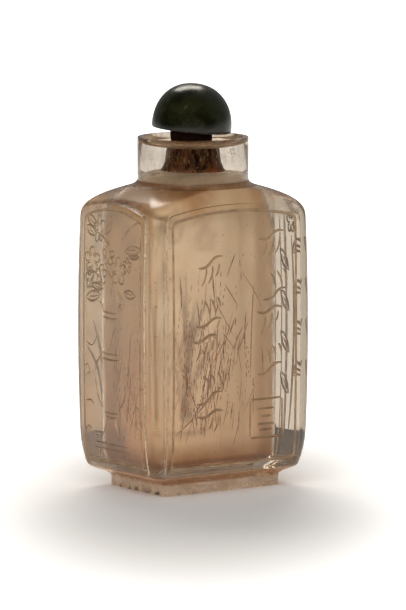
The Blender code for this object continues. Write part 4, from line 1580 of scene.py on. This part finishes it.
@dataclass
class JadeCap:
    """The stopper's domed cap of dark green stone."""

    radius: float = 6.85 * MM
    height: float = 8.0 * MM
    roundness: float = 2.2
    edge: float = 0.4 * MM
    wobble: float = 0.05 * MM
    lean: StopperLean = field(default_factory=StopperLean)

    def build(self) -> bpy.types.Object:
        """Turn the cap's profile about its axis, lean it and dress it.

        Returns:
            The finished piece.
        """
        bm = bmesh.new()
        profile = [Vector((0.0, 0.0, 0.0)), Vector((self.radius * 0.6, 0.0, 0.0)), Vector((self.radius - self.edge, 0.0, 0.0))]
        for angle in (30.0, 60.0):
            turn = math.radians(angle)
            x = self.radius - self.edge * (1 - math.sin(turn))
            profile.append(Vector((x - 0.02 * MM, 0.0, self.edge * (1 - math.cos(turn)))))
        count = 26
        power = 2 / self.roundness
        for step in range(1, count + 1):
            angle = QUARTER * (step - 0.7) / count
            x = self.radius * math.cos(angle) ** power
            profile.append(Vector((x, 0.0, self.edge + (self.height - self.edge) * math.sin(angle) ** power)))
        profile.append(Vector((0.0, 0.0, self.height)))
        verts = [bm.verts.new(point) for point in profile]
        edges = [bm.edges.new(pair) for pair in zip(verts, verts[1:])]
        bmesh.ops.spin(bm, geom=verts + edges, cent=(0, 0, 0), axis=(0, 0, 1), angle=math.tau, steps=96, use_merge=True)
        bmesh.ops.remove_doubles(bm, verts=bm.verts, dist=0.002 * MM)
        for vert in bm.verts:
            if vert.co.z > self.edge:
                vert.co *= 1 - (0.5 + 0.5 * noise.noise(vert.co * 230.0)) * self.wobble / self.radius
        bmesh.ops.transform(bm, matrix=self.lean.matrix(), verts=bm.verts)
        piece = make_piece("jade_cap", bm)
        piece.data.materials.append(DarkJade().make())
        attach(piece, "root")
        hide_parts("stopper_cap")
        return piece


@dataclass
class CorkPlug:
    """The cork: slim in the bore, wide under the cap and bent over to the cap's lean."""

    wide: float = 3.6 * MM
    taper: float = 0.88
    length: float = 3.6 * MM
    chamfer: float = 0.4 * MM
    gap: float = 0.3 * MM
    pits: float = 0.12 * MM
    lean: StopperLean = field(default_factory=StopperLean)

    def _radius(self, height: float, low: float, high: float) -> float:
        """The cork's radius at a height, between its foot and where it has filled the mouth."""
        form = self.lean.form
        slim = form.bore - self.gap
        if height > high:
            return self.wide
        if height > form.bore_top:
            return mix(slim, self.wide, (height - form.bore_top) / (high - form.bore_top))
        return slim * mix(self.taper, 1.0, (height - low) / (form.bore_top - low))

    def build(self) -> bpy.types.Object:
        """Grow the cork ring by ring, pit its side and dress it.

        Returns:
            The finished piece.
        """
        form = self.lean.form
        low = form.bore_top - self.length
        high = form.height - form.dish * 0.4
        top = self.lean.base - self.gap
        heights = [low, low + self.chamfer] + [mix(low + self.chamfer, top, (step + 1) / 22) for step in range(22)]
        sections = []
        for height in heights:
            share = max(0.0, (height - form.bore_top) / (top - form.bore_top))
            radius = self._radius(height, low, high) - (self.chamfer if height == low else 0.0)
            lower = Matrix.Translation((0.0, 0.0, height))
            upper = self.lean.matrix() @ Matrix.Translation((0.0, 0.0, height - self.lean.base))
            ring = []
            for index in range(48):
                angle = math.tau * index / 48
                spot = Vector((math.cos(angle), math.sin(angle), 0.0))
                pit = max(0.0, noise.noise(Vector((spot.x, spot.y, height * 400.0)) * 3.0)) * self.pits
                point = spot * (radius - pit)
                ring.append((lower @ point).lerp(upper @ point, share))
            sections.append(ring)
        bm = bmesh.new()
        sweep(bm, sections)
        piece = make_piece("cork_plug", bm, 50.0)
        piece.data.materials.append(DarkCork().make())
        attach(piece, "root")
        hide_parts("stopper_cork")
        return piece


@dataclass
class Studio:
    """A pale floor under a soft surround that is bright behind and above, with a lamp overhead."""

    floor_half: float = 30.0
    gap: float = 0.03 * MM
    floor_colour: Colour = (0.90, 0.88, 0.86)
    # Warm colour of the painted glow near the bottle.
    cast_colour: Colour = (1.0, 0.62, 0.34)
    facing: Colour = (0.766, 0.643, 0.0)
    front_light: float = 0.005
    back_light: float = 0.25
    shadow_half: Pair = (48.0 * MM, 112.0 * MM)

    def build(self) -> None:
        """Lay the floor, light the surround and hang the lamps."""
        self._floor()
        self._surround()
        back = self._lamp("back_softbox", Vector((0.26, 0.50, 0.70)), (0.50, 0.32), 3.3)
        back.data.color = (1.0, 0.93, 0.82)
        fill = self._lamp("front_fill", Vector((-0.52, -0.50, 0.38)), (1.00, 1.00), 8.3)
        fill.visible_glossy = False
        bpy.context.scene.view_settings.view_transform = "Standard"

    def _floor(self) -> None:
        """Lay the floor just below the foot. To the camera it glows up to plain white away from the bottle, leaving a
        painted soft shadow around it; to other rays it glows softly as painted light, warm near the bottle and dimmer
        on the front side.
        """
        bm = bmesh.new()
        bmesh.ops.create_grid(bm, x_segments=1, y_segments=1, size=self.floor_half)
        bmesh.ops.translate(bm, vec=(0.0, 0.0, -self.gap), verts=bm.verts)
        floor = make_piece("studio_floor", bm)
        material, bench, shader = start_material("pale_floor")
        coordinates = bench.add("ShaderNodeTexCoord").outputs["Object"]
        turned = bench.add("ShaderNodeMapping", None, Vector=coordinates, Rotation=(0.0, 0.0, math.radians(35.0)))
        scaled = bench.add(
            "ShaderNodeMapping",
            None,
            Vector=turned.outputs[0],
            Location=(0.0, 0.25, 0.0),
            Scale=(1 / self.shadow_half[0], 1 / self.shadow_half[1], 0.0),
        )
        reach = bench.add("ShaderNodeVectorMath", {"operation": "LENGTH"})
        bench.set(reach, 0, scaled.outputs[0])
        # Painted shadow: to the camera the floor glows white outside an ellipse stretched towards the camera, so near
        # the bottle it stays darker.
        lit = bench.band(reach.outputs["Value"], 0.25, 1.30, 0.0, 1.1)
        # Painted light: to other rays the floor glows softly, dimmer on the front side.
        glow = bench.band(reach.outputs["Value"], 0.15, 1.35, 0.55, 0.50)
        behind = bench.add("ShaderNodeVectorMath", {"operation": "DOT_PRODUCT"})
        bench.set(behind, 0, coordinates)
        bench.set(behind, 1, self.facing)
        glow = bench.math("MULTIPLY", glow, bench.band(behind.outputs["Value"], -0.25, -0.04, 0.12, 1.0))
        seen = bench.add("ShaderNodeLightPath").outputs["Is Camera Ray"]
        bench.set(shader, "Base Color", (*self.floor_colour, 1.0))
        bench.set(shader, "Roughness", 0.7)
        bench.set(shader, "Specular IOR Level", 0.15)
        # Painted light: near the bottle the glow is warm, as light that has come through the crystal.
        warm = bench.blend(bench.band(reach.outputs["Value"], 0.35, 1.20), self.cast_colour, (1.0, 1.0, 1.0))
        bench.set(shader, "Emission Color", bench.blend(seen, warm, (1.0, 1.0, 1.0)))
        strength = bench.add("ShaderNodeMix", {"data_type": "FLOAT"})
        for socket, value in ((0, seen), (2, glow), (3, lit)):
            bench.set(strength, socket, value)
        bench.set(shader, "Emission Strength", strength.outputs[0])
        floor.data.materials.append(material)

    def _surround(self) -> None:
        """Light the surround: white where it is seen, softer from the front in what it lights."""
        world = bpy.data.worlds.new("soft_surround")
        world.use_nodes = True
        bench = NodeBench(world.node_tree)
        shade = world.node_tree.nodes["Background"]
        way = bench.add("ShaderNodeTexCoord").outputs["Generated"]
        facing = bench.add("ShaderNodeVectorMath", {"operation": "DOT_PRODUCT"})
        bench.set(facing, 0, way)
        bench.set(facing, 1, self.facing)
        soft = bench.band(facing.outputs["Value"], -0.60, 1.10, self.front_light, self.back_light)
        seen = bench.add("ShaderNodeLightPath").outputs["Is Camera Ray"]
        strength = bench.add("ShaderNodeMix", {"data_type": "FLOAT"})
        for socket, value in ((0, seen), (2, soft), (3, 1.0)):
            bench.set(strength, socket, value)
        bench.set(shade, "Color", (1.0, 1.0, 1.0, 1.0))
        bench.set(shade, "Strength", strength.outputs[0])
        bpy.context.scene.world = world

    def _lamp(self, name: str, place: Vector, size: Pair, power: float) -> bpy.types.Object:
        """Hang a soft lamp that faces the bottle.

        Args:
            name: The lamp's name.
            place: Its centre.
            size: Its width and height.
            power: Its strength in watts.

        Returns:
            The lamp's object.
        """
        lamp = bpy.data.lights.new(name, "AREA")
        lamp.shape = "RECTANGLE"
        lamp.size, lamp.size_y = size
        lamp.energy = power
        item = bpy.data.objects.new(name, lamp)
        item.location = place
        item.rotation_euler = (Vector((0.0, 0.0, 0.03)) - place).to_track_quat("-Z", "Y").to_euler()
        bpy.context.scene.collection.objects.link(item)
        return item


@dataclass
class PhotoCamera:
    """The camera, at the photograph's angle and distance."""

    azimuth: float = math.radians(-35.0)
    elevation: float = math.radians(7.1)
    distance: float = 0.9
    target: Colour = (0.00140623, -0.00098465, 0.03105273)
    lens: float = 310.7

    def build(self) -> bpy.types.Object:
        """Make the camera and set it as the scene's.

        Returns:
            The camera's object.
        """
        back = Vector((
            math.sin(self.azimuth) * math.cos(self.elevation),
            -math.cos(self.azimuth) * math.cos(self.elevation),
            math.sin(self.elevation),
        ))
        camera = bpy.data.cameras.new("photo_camera")
        camera.lens = self.lens
        camera.sensor_width = 36.0
        camera.clip_start = 0.01
        camera.clip_end = 200.0
        item = bpy.data.objects.new("photo_camera", camera)
        item.location = Vector(self.target) + back * self.distance
        item.rotation_euler = back.to_track_quat("Z", "Y").to_euler()
        bpy.context.scene.collection.objects.link(item)
        bpy.context.scene.camera = item
        return item


def main() -> None:
    """Build the camera, the bottle with what it holds, the stopper and the studio, in that order."""
    logging.basicConfig(level=logging.INFO, format="%(message)s")
    PhotoCamera().build()
    for maker in (CrystalBottle(), NeedleInclusions(), JadeCap(), CorkPlug()):
        report(maker.build())
    Studio().build()


if __name__ == "__main__":
    main()
